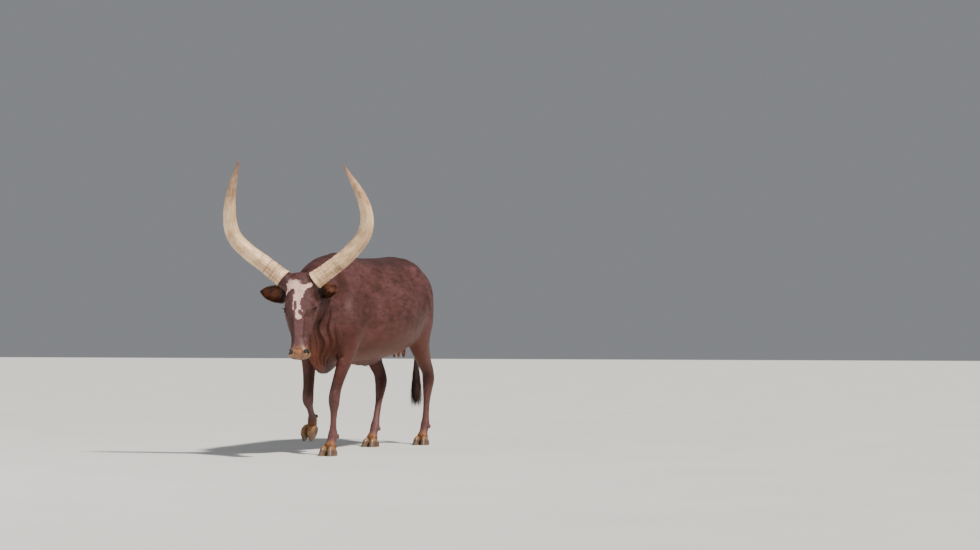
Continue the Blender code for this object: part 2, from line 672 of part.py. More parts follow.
def object_of(work, name, collection):
    """An object that takes over a bmesh."""
    mesh = bpy.data.meshes.new(name)
    work.to_mesh(mesh)
    work.free()
    made = bpy.data.objects.new(name, mesh)
    collection.objects.link(made)
    return made


def ball(name, centre, radius, collection, segments=14, rings=9):
    work = bmesh.new()
    bmesh.ops.create_uvsphere(work, u_segments=segments, v_segments=rings, radius=radius)
    bmesh.ops.translate(work, vec=centre, verts=work.verts)
    return object_of(work, name, collection)


def combine(obj, others, operation, solver="MANIFOLD"):
    """Applies a Boolean with each of the other objects, which are then removed."""
    name = obj.name
    home = obj.users_collection[0]
    for other in others:
        step = obj.modifiers.new(operation, "BOOLEAN")
        step.operation = operation
        step.solver = solver
        step.object = other
        obj = evaluated_copy(obj, name, home)
        bpy.data.objects.remove(other, do_unlink=True)
    obj.name = name
    return obj


def loose_parts(obj):
    """The separate closed surfaces of an object, as lists of face indices."""
    mesh = obj.data
    group = list(range(len(mesh.vertices)))

    def root(i):
        while group[i] != i:
            group[i] = group[group[i]]
            i = group[i]
        return i

    for edge in mesh.edges:
        a, b = (root(i) for i in edge.vertices)
        if a != b:
            group[b] = a
    parts = {}
    for face in mesh.polygons:
        parts.setdefault(root(face.vertices[0]), []).append(face.index)
    return list(parts.values())


def part_object(obj, faces, name, collection):
    """A new object from some faces of another."""
    mesh = obj.data
    used = sorted({i for f in faces for i in mesh.polygons[f].vertices})
    place = {old: new for new, old in enumerate(used)}
    points = [tuple(mesh.vertices[i].co) for i in used]
    kept = [tuple(place[i] for i in mesh.polygons[f].vertices) for f in faces]
    return mesh_object(name, points, kept, collection)


def parted(obj, names, collection):
    """Splits an object into its loose parts and names each by the nearest of the named places."""
    pieces = sorted(loose_parts(obj), key=len, reverse=True)
    left = dict(names)
    made = {}
    for faces in pieces:
        if not left:
            break
        corners = np.array([obj.data.vertices[i].co for f in faces for i in obj.data.polygons[f].vertices])
        middle = (corners.min(axis=0) + corners.max(axis=0)) / 2
        name = min(left, key=lambda n: np.linalg.norm(middle - np.array(left[n])))
        made[name] = part_object(obj, faces, name + "_piece", collection)
        del left[name]
    bpy.data.objects.remove(obj, do_unlink=True)
    for name, piece in made.items():
        piece.name = name
    return made


def keep_largest(obj):
    """Keeps the largest closed surface of an object."""
    pieces = loose_parts(obj)
    if len(pieces) == 1:
        return obj
    name = obj.name
    home = obj.users_collection[0]
    made = part_object(obj, max(pieces, key=len), name + "_whole", home)
    bpy.data.objects.remove(obj, do_unlink=True)
    made.name = name
    return made


def thinned(obj, triangles, name, collection):
    """The object with about so many triangles."""
    step = obj.modifiers.new("fewer", "TRIANGULATE")
    obj = evaluated_copy(obj, name, collection)
    step = obj.modifiers.new("fewer", "DECIMATE")
    step.ratio = triangles / len(obj.data.polygons)
    return evaluated_copy(obj, name, collection)


def body_lofts():
    return [
        tube(upright_rows(TRUNK)), tube(NECK), tube(DEWLAP), tube(NAVEL),
        tube(FORE_LEFT), tube(FORE_RIGHT), tube(HIND_LEFT), tube(HIND_RIGHT),
    ]


def make_body(collection):
    body = fused("body", body_lofts() + [head_loft()], BODY_VOXEL, collection)
    points = points_of(body.data)
    thick = np.clip((points[:, 2] - 0.45) / 0.15, 0, 1)
    relax(body.data, 3)
    relax(body.data, 14, weight=thick)
    press(body.data, body_strokes())
    relax(body.data, 2)
    return thinned(body, BODY_TRIANGLES, "body", collection)


def make_head(collection):
    head = fused("head", [head_loft(), tube(NECK), tube(DEWLAP)] + horn_bosses(), HEAD_VOXEL, collection)
    relax(head.data, 6)
    press(head.data, head_strokes())
    relax(head.data, 2)
    near = head_side(head, collection)
    return thinned(near, HEAD_TRIANGLES, "head", collection)


def head_side(obj, collection):
    """Drops most of the neck behind the parting, so that the triangles go to the head."""
    place, normal = PARTING
    work = bmesh.new()
    bmesh.ops.create_cube(work, size=1.6)
    bmesh.ops.translate(work, vec=(0, 0, 0.82), verts=work.verts)
    turned = normal.to_track_quat("Z", "Y").to_matrix().to_4x4()
    bmesh.ops.transform(work, matrix=Matrix.Translation(place) @ turned, verts=work.verts)
    return combine(obj, [object_of(work, "block", collection)], "DIFFERENCE")


def eye_places():
    places = {}
    for name, mirror in (("left", 1), ("right", -1)):
        spot = (EYE_SPOT[0], mirror * EYE_SPOT[1], EYE_SPOT[2])
        aim = head_frame() @ Vector((EYE_AIM[0], mirror * EYE_AIM[1], EYE_AIM[2])).normalized()
        places[name] = (Vector(on_head([spot])[0]), aim, mirror)
    return places


def eye_opening(name, centre, aim, mirror, collection):
    """A lens-shaped prism that opens the lids."""
    half_long, half_high = EYE_OPENING
    down = head_frame() @ Vector((1, 0, 0))
    across = aim.cross(down).normalized() * mirror
    up = across.cross(aim).normalized() * mirror
    long_way = across * math.cos(LID_TILT) - up * math.sin(LID_TILT)
    high_way = aim.cross(long_way)
    outline = []
    for i in range(20):
        angle = i * 2 * math.pi / 20
        high = signed_power(math.sin(angle), 1.15)
        outline.append(long_way * (half_long * math.cos(angle)) + high_way * (half_high * high))
    rings = []
    for depth, size in ((0.006, 0.9), (0.050, 1.3)):
        rings.append(np.array([centre + aim * depth + p * size for p in outline]))
    points, faces = skinned(rings)
    return closed_object(name, points, faces, collection)


def add_eyes(head, parts, guides):
    """Lids round each eye, and the eyeballs."""
    for name, (centre, aim, mirror) in eye_places().items():
        lid = ball("lid", centre, EYE_RADIUS + LID_THICKNESS, guides)
        head = combine(head, [lid], "UNION")
        opening = eye_opening("opening", centre, aim, mirror, guides)
        socket = ball("socket", centre, EYE_RADIUS + GAP, guides)
        head = combine(head, [opening, socket], "DIFFERENCE")
        ball("eye_" + name, centre, EYE_RADIUS, parts)
    return head


def add_guest(host, name, points, faces, cut_points, parts, guides):
    """Adds a piece and cuts its seat, a gap wider than the piece, from its host."""
    closed_object(name, points, faces, parts)
    seat = closed_object(name + "_seat", cut_points, faces, guides)
    return combine(host, [seat], "DIFFERENCE")


def offset(points, faces, distance):
    """The points moved out so that each of their faces moves by the distance."""
    points = np.asarray(points)
    facings = [[] for _ in points]
    for face in faces:
        corners = points[list(face)]
        facing = np.cross(corners[1] - corners[0], corners[2] - corners[0])
        facing /= np.linalg.norm(facing)
        for i in face:
            facings[i].append(facing)
    moves = np.array([np.linalg.lstsq(np.array(f), np.full(len(f), distance), rcond=0.15)[0] for f in facings])
    reach = np.linalg.norm(moves, axis=1)[:, None]
    return points + moves * np.minimum(1, 2.5 * distance / reach)


def outward(points, faces):
    """Faces turned so that the solid's volume is positive."""
    points = np.asarray(points)
    total = 0.0
    for face in faces:
        a = points[face[0]]
        for i in range(1, len(face) - 1):
            total += np.dot(a, np.cross(points[face[i]], points[face[i + 1]]))
    return faces if total > 0 else [tuple(face[::-1]) for face in faces]


def add_horns(head, parts, guides):
    for name, line, mirror in (("left", HORN_LEFT, 1), ("right", HORN_RIGHT, -1)):
        points, faces = horn_mesh(line, mirror)
        faces = outward(points, halved(faces))
        head = add_guest(head, "horn_" + name, points, faces, offset(points, faces, 2 * GAP), parts, guides)
    return head


def add_ears(head, neck, parts, guides):
    for name, mirror, aim in (("left", 1, EAR_AIM_LEFT), ("right", -1, EAR_AIM_RIGHT)):
        points, faces = ear_mesh(mirror, aim)
        faces = outward(points, halved(faces))
        seat = offset(points, faces, 2 * GAP)
        neck = combine(neck, [closed_object("seat", seat, faces, guides)], "DIFFERENCE")
        head = add_guest(head, "ear_" + name, points, faces, seat, parts, guides)
    keep_largest(neck)
    return head


def add_hooves(body, parts, guides):
    for name, (place, pitch, turn) in FEET.items():
        for label, side in (("left", 1), ("right", -1)):
            points, faces = claw_mesh(place, pitch, turn, side)
            faces = outward(points, halved(faces))
            seat = offset(points, faces, 2 * GAP)
            body = add_guest(body, f"claw_{name}_{label}", points, faces, seat, parts, guides)
    return body


def teat_rows(x, y):
    top, low = TEAT_REACH
    rows = []
    for z, width in ((top, 1.3), ((top + low) / 2, 1.1), (low + 0.014, 1.1), (low, 0.8)):
        rows.append((x, y, z) + (TEAT_RADIUS * width,) * 3)
    return rows


def make_udder(parts, guides):
    centre, size = UDDER
    bag = ball("udder", (0, 0, 0), 1.0, parts, 14, 10)
    bag.data.transform(Matrix.Translation(centre) @ Matrix.Diagonal((*size, 1)))
    teats = []
    for x, y in TEATS:
        points, faces = tube(teat_rows(x, y), 1, 7)
        teats.append(closed_object("teat", points, faces, guides))
    return combine(bag, teats, "UNION")


def seat_of(obj, name, guides):
    """A cutter a gap wider than the object, whose faces become triangles."""
    work = bmesh.new()
    work.from_mesh(obj.data)
    bmesh.ops.triangulate(work, faces=work.faces)
    work.to_mesh(obj.data)
    work.free()
    faces = [tuple(f.vertices) for f in obj.data.polygons]
    return closed_object(name, offset(points_of(obj.data), faces, 2 * GAP), faces, guides)


def make_tail(parts):
    points, faces = tube(TAIL, 2, 10)
    points[:, 2] = np.maximum(points[:, 2], TAIL[-1][2])
    return closed_object("tail", points, halved(faces), parts)


def lock_mesh(root, way, length, width, bend):
    """A flat lock that tapers to a point and bends on its way down."""
    side = way.cross(bend).normalized()
    flat = side.cross(way).normalized()
    rings = []
    for s, wide, thick in ((0, 0.8, 0.0040), (0.35, 1.0, 0.0050), (0.75, 0.7, 0.0035), (1.0, 0.12, 0.0008)):
        centre = root + way * (length * s) + bend * (0.10 * length * math.sin(math.pi * s))
        half = width / 2 * wide
        corners = [(-half, 0.0), (0.0, -thick), (half, 0.0), (0.0, thick)]
        rings.append(np.array([centre + side * a + flat * b for a, b in corners]))
    return skinned(rings)


def make_switch(parts, guides):
    """The tuft at the tail's end: locks in tiers round a short core."""
    random = np.random.default_rng(SEED)
    core_rows = []
    for s, r in ((0.0, 0.010), (0.15, 0.016), (0.35, 0.018), (0.50, 0.008)):
        core_rows.append((SWITCH_TOP.x, SWITCH_TOP.y, SWITCH_TOP.z - SWITCH_LENGTH * s, r, r, r))
    points, faces = tube(core_rows, 1, 10)
    core = closed_object("tail_switch", points, faces, parts)
    locks = []
    for i in range(SWITCH_LOCKS):
        share = i / SWITCH_LOCKS
        turn = i * 2.39996
        out = Vector((math.cos(turn), math.sin(turn), 0))
        start = 0.035 + 0.40 * share
        radius = 0.006 + 0.006 * math.sin(math.pi * min(1.0, start * 2))
        root = SWITCH_TOP + out * radius - Vector((0, 0, SWITCH_LENGTH * start))
        spread = 0.13 + 0.06 * random.random()
        way = (Vector((0, 0, -1)) + out * spread).normalized()
        length = SWITCH_LENGTH * (1.0 - start) * (0.78 + 0.22 * random.random())
        points, faces = lock_mesh(root, way, length, 0.023 + 0.009 * random.random(), out)
        locks.append(closed_object("lock", points, faces, guides))
    return keep_largest(combine(core, locks, "UNION"))


def part_body(body, parts, guides):
    """Cuts the body into its named parts."""
    fore = ((0.545, 0.118, 0.150), (0.600, 0.112, 0.146), (0.680, 0.098, 0.128),
            (0.750, 0.070, 0.095), (0.790, 0.030, 0.045))
    hind = ((0.590, 0.150, 0.190), (0.700, 0.142, 0.200), (0.830, 0.115, 0.185),
            (0.930, 0.080, 0.130), (0.975, 0.030, 0.055))
    place, normal = PARTING
    cutters = [
        bell_cutter((0.150, -0.580), fore, guides),
        bell_cutter((-0.150, -0.545), fore, guides),
        bell_cutter((0.172, 0.484), hind, guides),
        bell_cutter((-0.162, 0.385), hind, guides),
        slab_cutter(place, normal, (0.35, 0.45), guides),
        slab_cutter((0.0, -0.705, 0.90), (-0.06, 1.0, -0.14), (0.45, 0.55), guides),
        slab_cutter((0.112, -0.652, 0.428), (0, 0.20, 1.0), (0.09, 0.12), guides),
        slab_cutter((-0.138, -0.556, 0.425), (0, 0.08, 1.0), (0.10, 0.12), guides),
        slab_cutter((0.149, 0.628, 0.512), (0, -0.50, 1.0), (0.09, 0.12), guides),
        slab_cutter((-0.125, 0.430, 0.505), (0, -0.35, 1.0), (0.09, 0.12), guides),
    ]
    body = combine(body, cutters, "DIFFERENCE")
    names = {
        "torso": (0, 0, 0.95), "neck": (0.03, -0.82, 0.9), "head_back": (0.08, -1.1, 0.9),
        "foreleg_upper_left": (0.15, -0.59, 0.58), "foreleg_upper_right": (-0.145, -0.55, 0.58),
        "foreleg_lower_left": (0.12, -0.67, 0.2), "foreleg_lower_right": (-0.16, -0.46, 0.25),
        "hindleg_upper_left": (0.165, 0.52, 0.74), "hindleg_upper_right": (-0.14, 0.40, 0.74),
        "hindleg_lower_left": (0.14, 0.62, 0.25), "hindleg_lower_right": (-0.10, 0.35, 0.25),
    }
    made = parted(body, names, parts)
    bpy.data.objects.remove(made.pop("head_back"), do_unlink=True)
    return made


def trim_head(head, parts, guides):
    """Keeps the head in front of the parting."""
    place, normal = PARTING
    head = combine(head, [slab_cutter(place, normal, (0.35, 0.45), guides)], "DIFFERENCE")
    return parted(head, {"head": (0.1, -1.15, 0.9)}, parts)["head"]


def centre_on_floor(parts):
    """Moves every piece so that the middle of the whole model's base is the origin."""
    corners = np.concatenate([points_of(obj.data) for obj in parts.objects])
    low, high = corners.min(axis=0), corners.max(axis=0)
    shift = Vector((-(low[0] + high[0]) / 2, -(low[1] + high[1]) / 2, -low[2]))
    for obj in parts.objects:
        obj.data.transform(Matrix.Translation(shift))


def finish_pieces(parts):
    looks = {
        "eye": material("eye_dark", DARK, 0.08),
        "horn": material("horn_tan", HORN_TAN, 0.45),
        "claw": material("hoof_brown", HOOF_BROWN, 0.5),
        "udder": material("bare_skin", SKIN, 0.55),
        "tail_switch": material("tail_hair", DARK, 0.7),
        "coat": material("coat_mahogany", COAT, 0.6),
    }
    for obj in parts.objects:
        kind = next((key for key in looks if obj.name.startswith(key)), "coat")
        obj.data.materials.clear()
        obj.data.materials.append(looks[kind])
        obj.data.shade_smooth()
        obj.data.set_sharp_from_angle(angle=math.radians(50))


def main():
    clear_scene()
    parts = new_collection("ankole_watusi_cow")
    guides = new_collection("guides")
    body = make_body(guides)
    body = add_hooves(body, parts, guides)
    udder = make_udder(parts, guides)
    tail = make_tail(parts)
    body = combine(body, [seat_of(udder, "udder_seat", guides), seat_of(tail, "tail_seat", guides)], "DIFFERENCE")
    made = part_body(body, parts, guides)
    make_switch(parts, guides)
    head = make_head(guides)
    head = add_eyes(head, parts, guides)
    head = add_horns(head, parts, guides)
    head = add_ears(head, made["neck"], parts, guides)
    trim_head(head, parts, guides)
    finish_pieces(parts)
    centre_on_floor(parts)


main()
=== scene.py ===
"""The looks of a life-size Ankole-Watusi cow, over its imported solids.

One skin covers the flesh. Eyes, horns, claws and the tail's hair are pieces of their own, and tufts break
the coat. Places are written as in the solids' source, where the animal faces -Y and its left side is +X, and
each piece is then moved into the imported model's frame.
"""

import math

import bmesh
import bpy
import numpy as np
from mathutils import Matrix, Vector


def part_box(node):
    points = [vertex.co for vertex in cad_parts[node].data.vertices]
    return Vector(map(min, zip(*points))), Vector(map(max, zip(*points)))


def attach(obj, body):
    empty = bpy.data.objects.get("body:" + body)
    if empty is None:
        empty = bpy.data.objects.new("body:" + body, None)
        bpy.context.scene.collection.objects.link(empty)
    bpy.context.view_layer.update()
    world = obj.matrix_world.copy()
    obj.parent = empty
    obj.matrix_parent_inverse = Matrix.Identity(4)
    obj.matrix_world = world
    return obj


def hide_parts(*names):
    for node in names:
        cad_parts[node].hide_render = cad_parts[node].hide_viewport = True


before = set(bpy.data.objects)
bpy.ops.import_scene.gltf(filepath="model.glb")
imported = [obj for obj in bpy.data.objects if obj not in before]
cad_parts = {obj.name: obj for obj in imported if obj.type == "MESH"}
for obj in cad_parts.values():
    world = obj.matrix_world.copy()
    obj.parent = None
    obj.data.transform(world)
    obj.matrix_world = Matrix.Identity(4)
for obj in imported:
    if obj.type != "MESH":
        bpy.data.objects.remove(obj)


def metres(rows, lengths=8):
    """Rows given in millimetres, in metres. Columns after the lengths stay as they are."""
    return [tuple(v / 1000 if i < lengths else v for i, v in enumerate(row)) for row in rows]


def strokes(rows):
    """Strokes from rows in millimetres: radius, height, then the places of the path."""
    return [(np.reshape(row[2:], (-1, 3)) / 1000, row[0] / 1000, row[1] / 1000) for row in rows]


# Gap between tail and switch, and the points and steps of a loft, fewer for tail and teats
GAP = 0.0003
RING = 56
STEPS = 8
THIN_RING = 16
THIN_STEPS = 4

# Head: its place at the poll, how far the face leans from vertical, and how far it turns to its left
POLL = Vector((0.070, -1.072, 1.114))
FACE_LEAN = math.radians(15)
HEAD_TURN = math.radians(19)
HEAD_ROLL = math.radians(-2.5)
EYE_RADIUS = 0.0185
EYE_SPOT = (0.205, 0.0805, -0.056)
EYE_AIM = (0.10, 0.90, 0.40)
EYE_OPENING = (0.0185, 0.0105)
LID_TILT = math.radians(18)
SIDES = (("left", 1), ("right", -1))

# Horns: radius at the root, and the curve of each as (out, forward, up) from the poll
HORN_RADIUS = 0.0550
HORN_TAPER = (0.22, 0.72, 3.6)
HORN_FLARE = (0.09, 0.035)
HORN_LEFT = metres([
    (90, -52, -34), (132, -49, -4), (184, -45, 33), (290, -35, 116), (381, -12, 214), (415, 12, 293),
    (417, 38, 372), (397, 65, 450), (361, 95, 525), (325, 125, 592), (292, 155, 650),
])
HORN_RIGHT = metres([
    (103, -50, -24), (152, -48, 15), (214, -45, 64), (322, -34, 146), (396, -10, 230), (419, 20, 327),
    (412, 52, 420), (394, 85, 510), (366, 120, 600), (337, 155, 680),
])
HORNS = (("left", HORN_LEFT, 1), ("right", HORN_RIGHT, -1))

# Root of each horn under the skin, as (distance along the horn, radius)
BOSS = ((-0.080, 0.050), (-0.050, 0.055), (-0.015, 0.0565), (0.010, 0.0560))

# Ears: root on the head as (down the face, out, forward), way, size, and curl at the root in degrees
EAR_ROOT = (0.098, 0.082, -0.120)
EAR_AIM_LEFT = (-0.50, 0.65, -0.57)
EAR_AIM_RIGHT = (-0.30, 0.95, -0.10)
EAR_LENGTH = 0.185
EAR_WIDTH = 0.108
EAR_WALL = 0.0042
EAR_DROOP = 0.008
EAR_STATIONS = 41
EAR_RING = 33
ROOT_CURL = 118
CURL_LOST = 66
EARS = ((1, EAR_AIM_LEFT), (-1, EAR_AIM_RIGHT))

# Trunk rows, rump to breast: y, top, bottom, half width, squareness, narrowing towards the back line
TRUNK = metres([
    (755, 1170, 1020, 45, 2, 0), (730, 1212, 950, 110, 2.1, 0), (660, 1256, 860, 176, 2.1, 0.02),
    (560, 1284, 775, 224, 2.2, 0.04), (430, 1295, 705, 250, 2.3, 0.08), (300, 1284, 655, 272, 2.2, 0.14),
    (120, 1268, 602, 296, 2.15, 0.2), (-80, 1258, 585, 292, 2.15, 0.24), (-260, 1260, 582, 264, 2.1, 0.25),
    (-420, 1272, 578, 228, 2, 0.22), (-550, 1262, 565, 205, 1.95, 0.14), (-660, 1222, 560, 186, 1.95, 0.05),
    (-750, 1140, 580, 152, 2, 0), (-812, 1040, 650, 90, 2, 0),
], 4)

# Neck rows, shoulder to poll: x, y, z, half width, above, below, squareness, narrowing towards the crest
NECK = metres([
    (0, -440, 1020, 160, 235, 270, 2, 0.15), (4, -580, 1010, 140, 225, 250, 2, 0.18),
    (16, -700, 1008, 112, 200, 220, 2, 0.2), (36, -805, 1006, 94, 172, 185, 2, 0.15),
    (60, -895, 1004, 86, 142, 155, 2, 0.05), (80, -970, 1004, 78, 102, 120, 2, 0),
], 6)

# Dewlap rows, brisket to throat: x, y, z, half thickness, above, below
DEWLAP = metres([
    (0, -420, 640, 36, 80, 80), (0, -520, 640, 34, 90, 125), (2, -600, 645, 31, 110, 150),
    (10, -675, 670, 28, 120, 160), (24, -750, 735, 25, 120, 150), (42, -820, 815, 23, 110, 130),
    (60, -880, 880, 22, 90, 100), (74, -935, 920, 22, 60, 70),
])

# Fold of skin that hangs under the navel
NAVEL = metres([
    (0, -330, 610, 22, 40, 30), (0, -200, 600, 18, 50, 55), (0, -80, 590, 15, 50, 78),
    (0, 20, 590, 14, 50, 72), (0, 130, 605, 18, 50, 40), (0, 210, 630, 20, 40, 30),
])

# Leg rows, top to foot: x, y, z, half width, to the front, to the back
FORE_LEFT = metres([
    (140, -530, 1000, 52, 100, 130), (160, -565, 870, 66, 115, 130), (160, -570, 740, 64, 98, 110),
    (150, -585, 640, 53, 72, 82), (129, -620, 530, 43, 50, 54), (112, -652, 430, 37.5, 38, 39),
    (106, -664, 370, 40.5, 42, 35), (103, -667, 320, 37.5, 36, 34), (100, -666, 262, 24.5, 27, 31),
    (97, -666, 180, 23.5, 26, 30), (95, -669, 128, 33.5, 32, 37), (94, -685, 88, 32, 29, 33),
    (93, -699, 60, 42, 36, 40), (93, -705, 40, 38, 30, 34),
])
FORE_RIGHT = metres([
    (-138, -520, 1000, 52, 100, 130), (-158, -550, 870, 66, 115, 130), (-158, -545, 740, 64, 98, 110),
    (-150, -538, 635, 53, 72, 82), (-142, -545, 530, 43, 50, 54), (-138, -556, 430, 37.5, 38, 39),
    (-138, -561, 372, 40.5, 41, 36), (-144, -548, 328, 37.5, 39, 34), (-156, -506, 289, 24.5, 27, 31),
    (-173, -452, 243, 23.5, 26, 30), (-187, -414, 209, 33.5, 32, 37), (-198, -394, 176, 32, 29, 33),
    (-206, -386, 148, 42, 36, 40), (-208, -383, 128, 38, 30, 34),
])
HIND_LEFT = metres([
    (115, 460, 1120, 68, 120, 150), (146, 465, 1010, 90, 165, 185), (162, 455, 890, 90, 175, 175),
    (170, 440, 775, 78, 145, 145), (164, 480, 675, 62, 98, 102), (155, 560, 580, 49, 66, 74),
    (149, 630, 510, 41, 52, 65), (145, 655, 450, 42, 52, 60), (141, 653, 385, 36, 41, 41),
    (138, 643, 295, 25.5, 30, 31), (136, 634, 195, 25.5, 29, 31), (135, 624, 138, 34, 32, 37),
    (134, 604, 94, 31.5, 29, 32), (134, 587, 62, 40, 36, 40), (134, 580, 40, 36, 30, 34),
])
HIND_RIGHT = metres([
    (-115, 450, 1120, 68, 120, 150), (-146, 440, 1010, 90, 165, 185), (-162, 405, 890, 90, 175, 180),
    (-164, 360, 775, 78, 145, 155), (-142, 362, 675, 62, 98, 104), (-140, 395, 575, 49, 66, 74),
    (-124, 432, 500, 41, 52, 65), (-115, 440, 440, 42, 52, 60), (-108, 416, 375, 36, 41, 41),
    (-101, 378, 295, 25.5, 30, 31), (-94, 330, 195, 25.5, 29, 31), (-91, 302, 138, 34, 32, 37),
    (-90, 276, 94, 31.5, 29, 32), (-90, 257, 62, 40, 36, 40), (-90, 249, 40, 36, 30, 34),
])
LEGS = (FORE_LEFT, FORE_RIGHT, HIND_LEFT, HIND_RIGHT)

# Hooves: sizes of one claw, then for each foot its middle, its pitch with the toe down, and its way out
HOOF_LENGTH = 0.108
HOOF_WIDTH = 0.053
HOOF_TOE_HEIGHT = 0.066
HOOF_HEEL_HEIGHT = 0.036
HOOF_SPREAD = 0.0285
FEET = {
    "fore_left": (Vector((0.092, -0.731, 0.0)), 0.0, math.radians(3)),
    "fore_right": (Vector((-0.214, -0.392, 0.112)), math.radians(58), math.radians(-8)),
    "hind_left": (Vector((0.134, 0.556, 0.0)), 0.0, math.radians(5)),
    "hind_right": (Vector((-0.090, 0.225, 0.0)), 0.0, math.radians(-3)),
}

# Head rows, poll to lips: down the face, front, back, half width, squareness, narrowing towards the back
HEAD = metres([
    (-32, -55, -105, 34, 2, 0), (-18, -26, -135, 74, 2.2, 0), (12, -4, -155, 94, 2.4, 0),
    (60, 4, -178, 94, 2.7, 0), (110, 5, -196, 90, 2.8, 0.02), (160, 4, -207, 92, 2.7, 0.04),
    (205, 2, -210, 92, 2.6, 0.05), (250, 0, -203, 84, 2.5, 0.06), (300, 0, -178, 69, 2.4, 0.1),
    (350, 1, -148, 57.5, 2.3, 0.06), (395, 3, -124, 52, 2.2, 0.02), (435, 5, -110, 53, 2.2, 0),
    (464, 5, -104, 61, 2.3, 0), (484, 1, -101, 67, 2.4, 0), (499, -8, -95, 65, 2.5, 0),
    (511, -22, -84, 53, 2.4, 0), (518, -40, -68, 28, 2.2, 0),
], 4)
PARTING = (Vector((0.072, -0.905, 1.01)), Vector((-0.28, 1.0, 0.10)).normalized())

# Tail and udder
TAIL = metres([
    (0, 640, 1232, 34, 30, 30), (0, 720, 1226, 32, 30, 28), (0, 782, 1182, 28, 28, 26),
    (-2, 808, 1090, 23, 23, 22), (-5, 812, 960, 18, 18, 18), (-9, 809, 820, 16.5, 16.5, 16.5),
    (-12, 803, 680, 15, 15, 15), (-14, 799, 600, 13.5, 13.5, 13.5),
])
SWITCH_TOP = Vector((-0.014, 0.799, 0.600 - GAP))
SWITCH_LENGTH = 0.37
UDDER = (Vector((0.012, 0.430, 0.745)), Vector((0.080, 0.120, 0.115)))
TEATS = [(0.052, 0.375), (-0.026, 0.370), (0.048, 0.465), (-0.024, 0.460)]
TEAT_RADIUS = 0.0140
TEAT_REACH = (0.690, 0.592)

# Sizes of the render's own forms
SKIN_VOXEL = 0.0070
COAT_DEPTH = 0.0026
HORN_SIDES = 72
RING_LINES = 13
RING_WIDTH = 0.0022
RING_DEPTH = 0.0014
KERATIN_DEPTH = 0.0013
FIRST_RING = 0.010
RINGED_SPAN = 0.200

# Waves of loose skin on dewlap and breast, and finer ones on the neck
FOLD_HEIGHT = 0.0060
FOLD_SPACING = 0.047
FINE_FOLD_SPACING = 0.021
NAPE_FOLD_HEIGHT = 0.0009
NAPE_FOLD_SPACING = 0.034

# Lids: how they lie on the eye, the halves and curve of their opening, and folds as (height, place, width)
EYE_LIFT = 0.0030
LID_ROLL = 0.0012
LID_HALVES = (0.98 * EYE_OPENING[0], 0.94 * EYE_OPENING[1])
LID_CURVE = 1.7
LID_FOLDS = ((1.0, 1.28, 0.20), (-1.5, 1.85, 0.15), (1.1, 2.25, 0.20), (-0.9, 2.75, 0.18))
FAR_FROM_LIDS = 99.0
LID_DEPTH = 0.0012
LASHES = 46
LASH_LENGTH = 0.009
LASH_SPREAD = 0.005
LASH_WIDTH = 0.0007
LASH_LIFT = 0.0012

# Claws: points round each, and levels from the sole up as (level, size, way back)
CLAW_SIDES = 48
CLAW_STEPS = 5
CLAW_LEVELS = ((0.0, 1.0, 0.0), (0.25, 0.975, 0.010), (0.6, 0.90, 0.022), (1.0, 0.80, 0.034))
SHARP_ANGLE = math.radians(50)

# Dewclaws: the fetlock's row in each leg, half sizes, and rings as (distance down, size)
FETLOCK_ROWS = (10, 10, 11, 11)
DEWCLAW_WIDE = 0.0120
DEWCLAW_DEEP = 0.0100
DEWCLAW_APART = 0.0160
DEWCLAW_RING = 20
DEWCLAW_RINGS = ((-0.010, 0.70), (-0.004, 0.95), (0.004, 1.0), (0.011, 0.92), (0.017, 0.66), (0.0195, 0.30))

# Tufts: piece, place, count, length, width, lift and seed, then rings, droop and curl where they differ
TUFT_SEED = 7
TUFTS = (
    ("coat_body_1", "body", 19000, 0.013, 0.0021, 0.0008, 21),
    ("coat_body_2", "body", 19000, 0.012, 0.0018, 0.0007, 22),
    ("coat_body_3", "body", 19000, 0.013, 0.0020, 0.0008, 28),
    ("coat_legs", "legs", 19000, 0.0085, 0.0015, 0.0006, 23),
    ("coat_face", "face", 19000, 0.0070, 0.0012, 0.0005, 24),
    ("coat_ears", "ears", 8000, 0.013, 0.0013, 0.0016, 25, 3, 0.2, 0.30),
    ("coat_poll", "poll", 4200, 0.022, 0.0018, 0.0040, 26, 3, 0.3, 0.35),
    ("coat_underline", "underline", 9000, 0.013, 0.0018, 0.0013, 27, 3, 0.2),
    ("coat_coronets", "coronets", 3500, 0.022, 0.0017, 0.0022, 29, 3, 0.2),
)
ROOT_DEPTH = 0.0012
SHORT_TAPER = (1.0, 0.72)
LONG_TAPER = (1.0, 0.85, 0.6, 0.4, 0.25)
SWITCH_HAIRS = 1500
SWITCH_SPAN = 0.72
SWITCH_ABOVE = 0.30

# Map of the coat: its edge, the start and size of its upper half, and the size of one tuft's patch
MAP_EDGE = 0.03
MAP_UPPER = 0.53
MAP_HALF = 0.44
BLADE_PATCH = 0.0030

# The photo in pixels, with the place of the left forefoot's toe in it, and the camera found for it
PHOTO_WIDTH = 980
PHOTO_HEIGHT = 550
FOCAL_PIXELS = 1750.0
HORIZON_ROW = 343.0
TOE_COLUMN = 328.0
TOE_ROW = 456.0
TOE_PLACE = Vector((0.115, -0.776, 0.0))
CAMERA_YAW = math.radians(22.5)
CAMERA_HEIGHT = 0.70
SENSOR_WIDTH = 36.0
CLIP_END = 200.0

# Floor and light; the lamps' places are to the right, ahead and up of the point that they aim at
FLOOR_HALF = 60.0
SKY_COLOUR = (0.86, 0.89, 0.94, 1.0)
SKY_STRENGTH = 0.27
LIT_HEIGHT = 0.9
SUN_PLACE = (3.2, -2.6, 5.2)
SUN_STRENGTH = 6.6
SUN_ANGLE = math.radians(4)
SUN_COLOUR = (1.0, 0.95, 0.88)
FILL_PLACE = (-4.5, -4.0, 2.0)
FILL_WATTS = 130.0
FILL_SIZE = 4.0
FILL_COLOUR = (0.92, 0.96, 1.0)

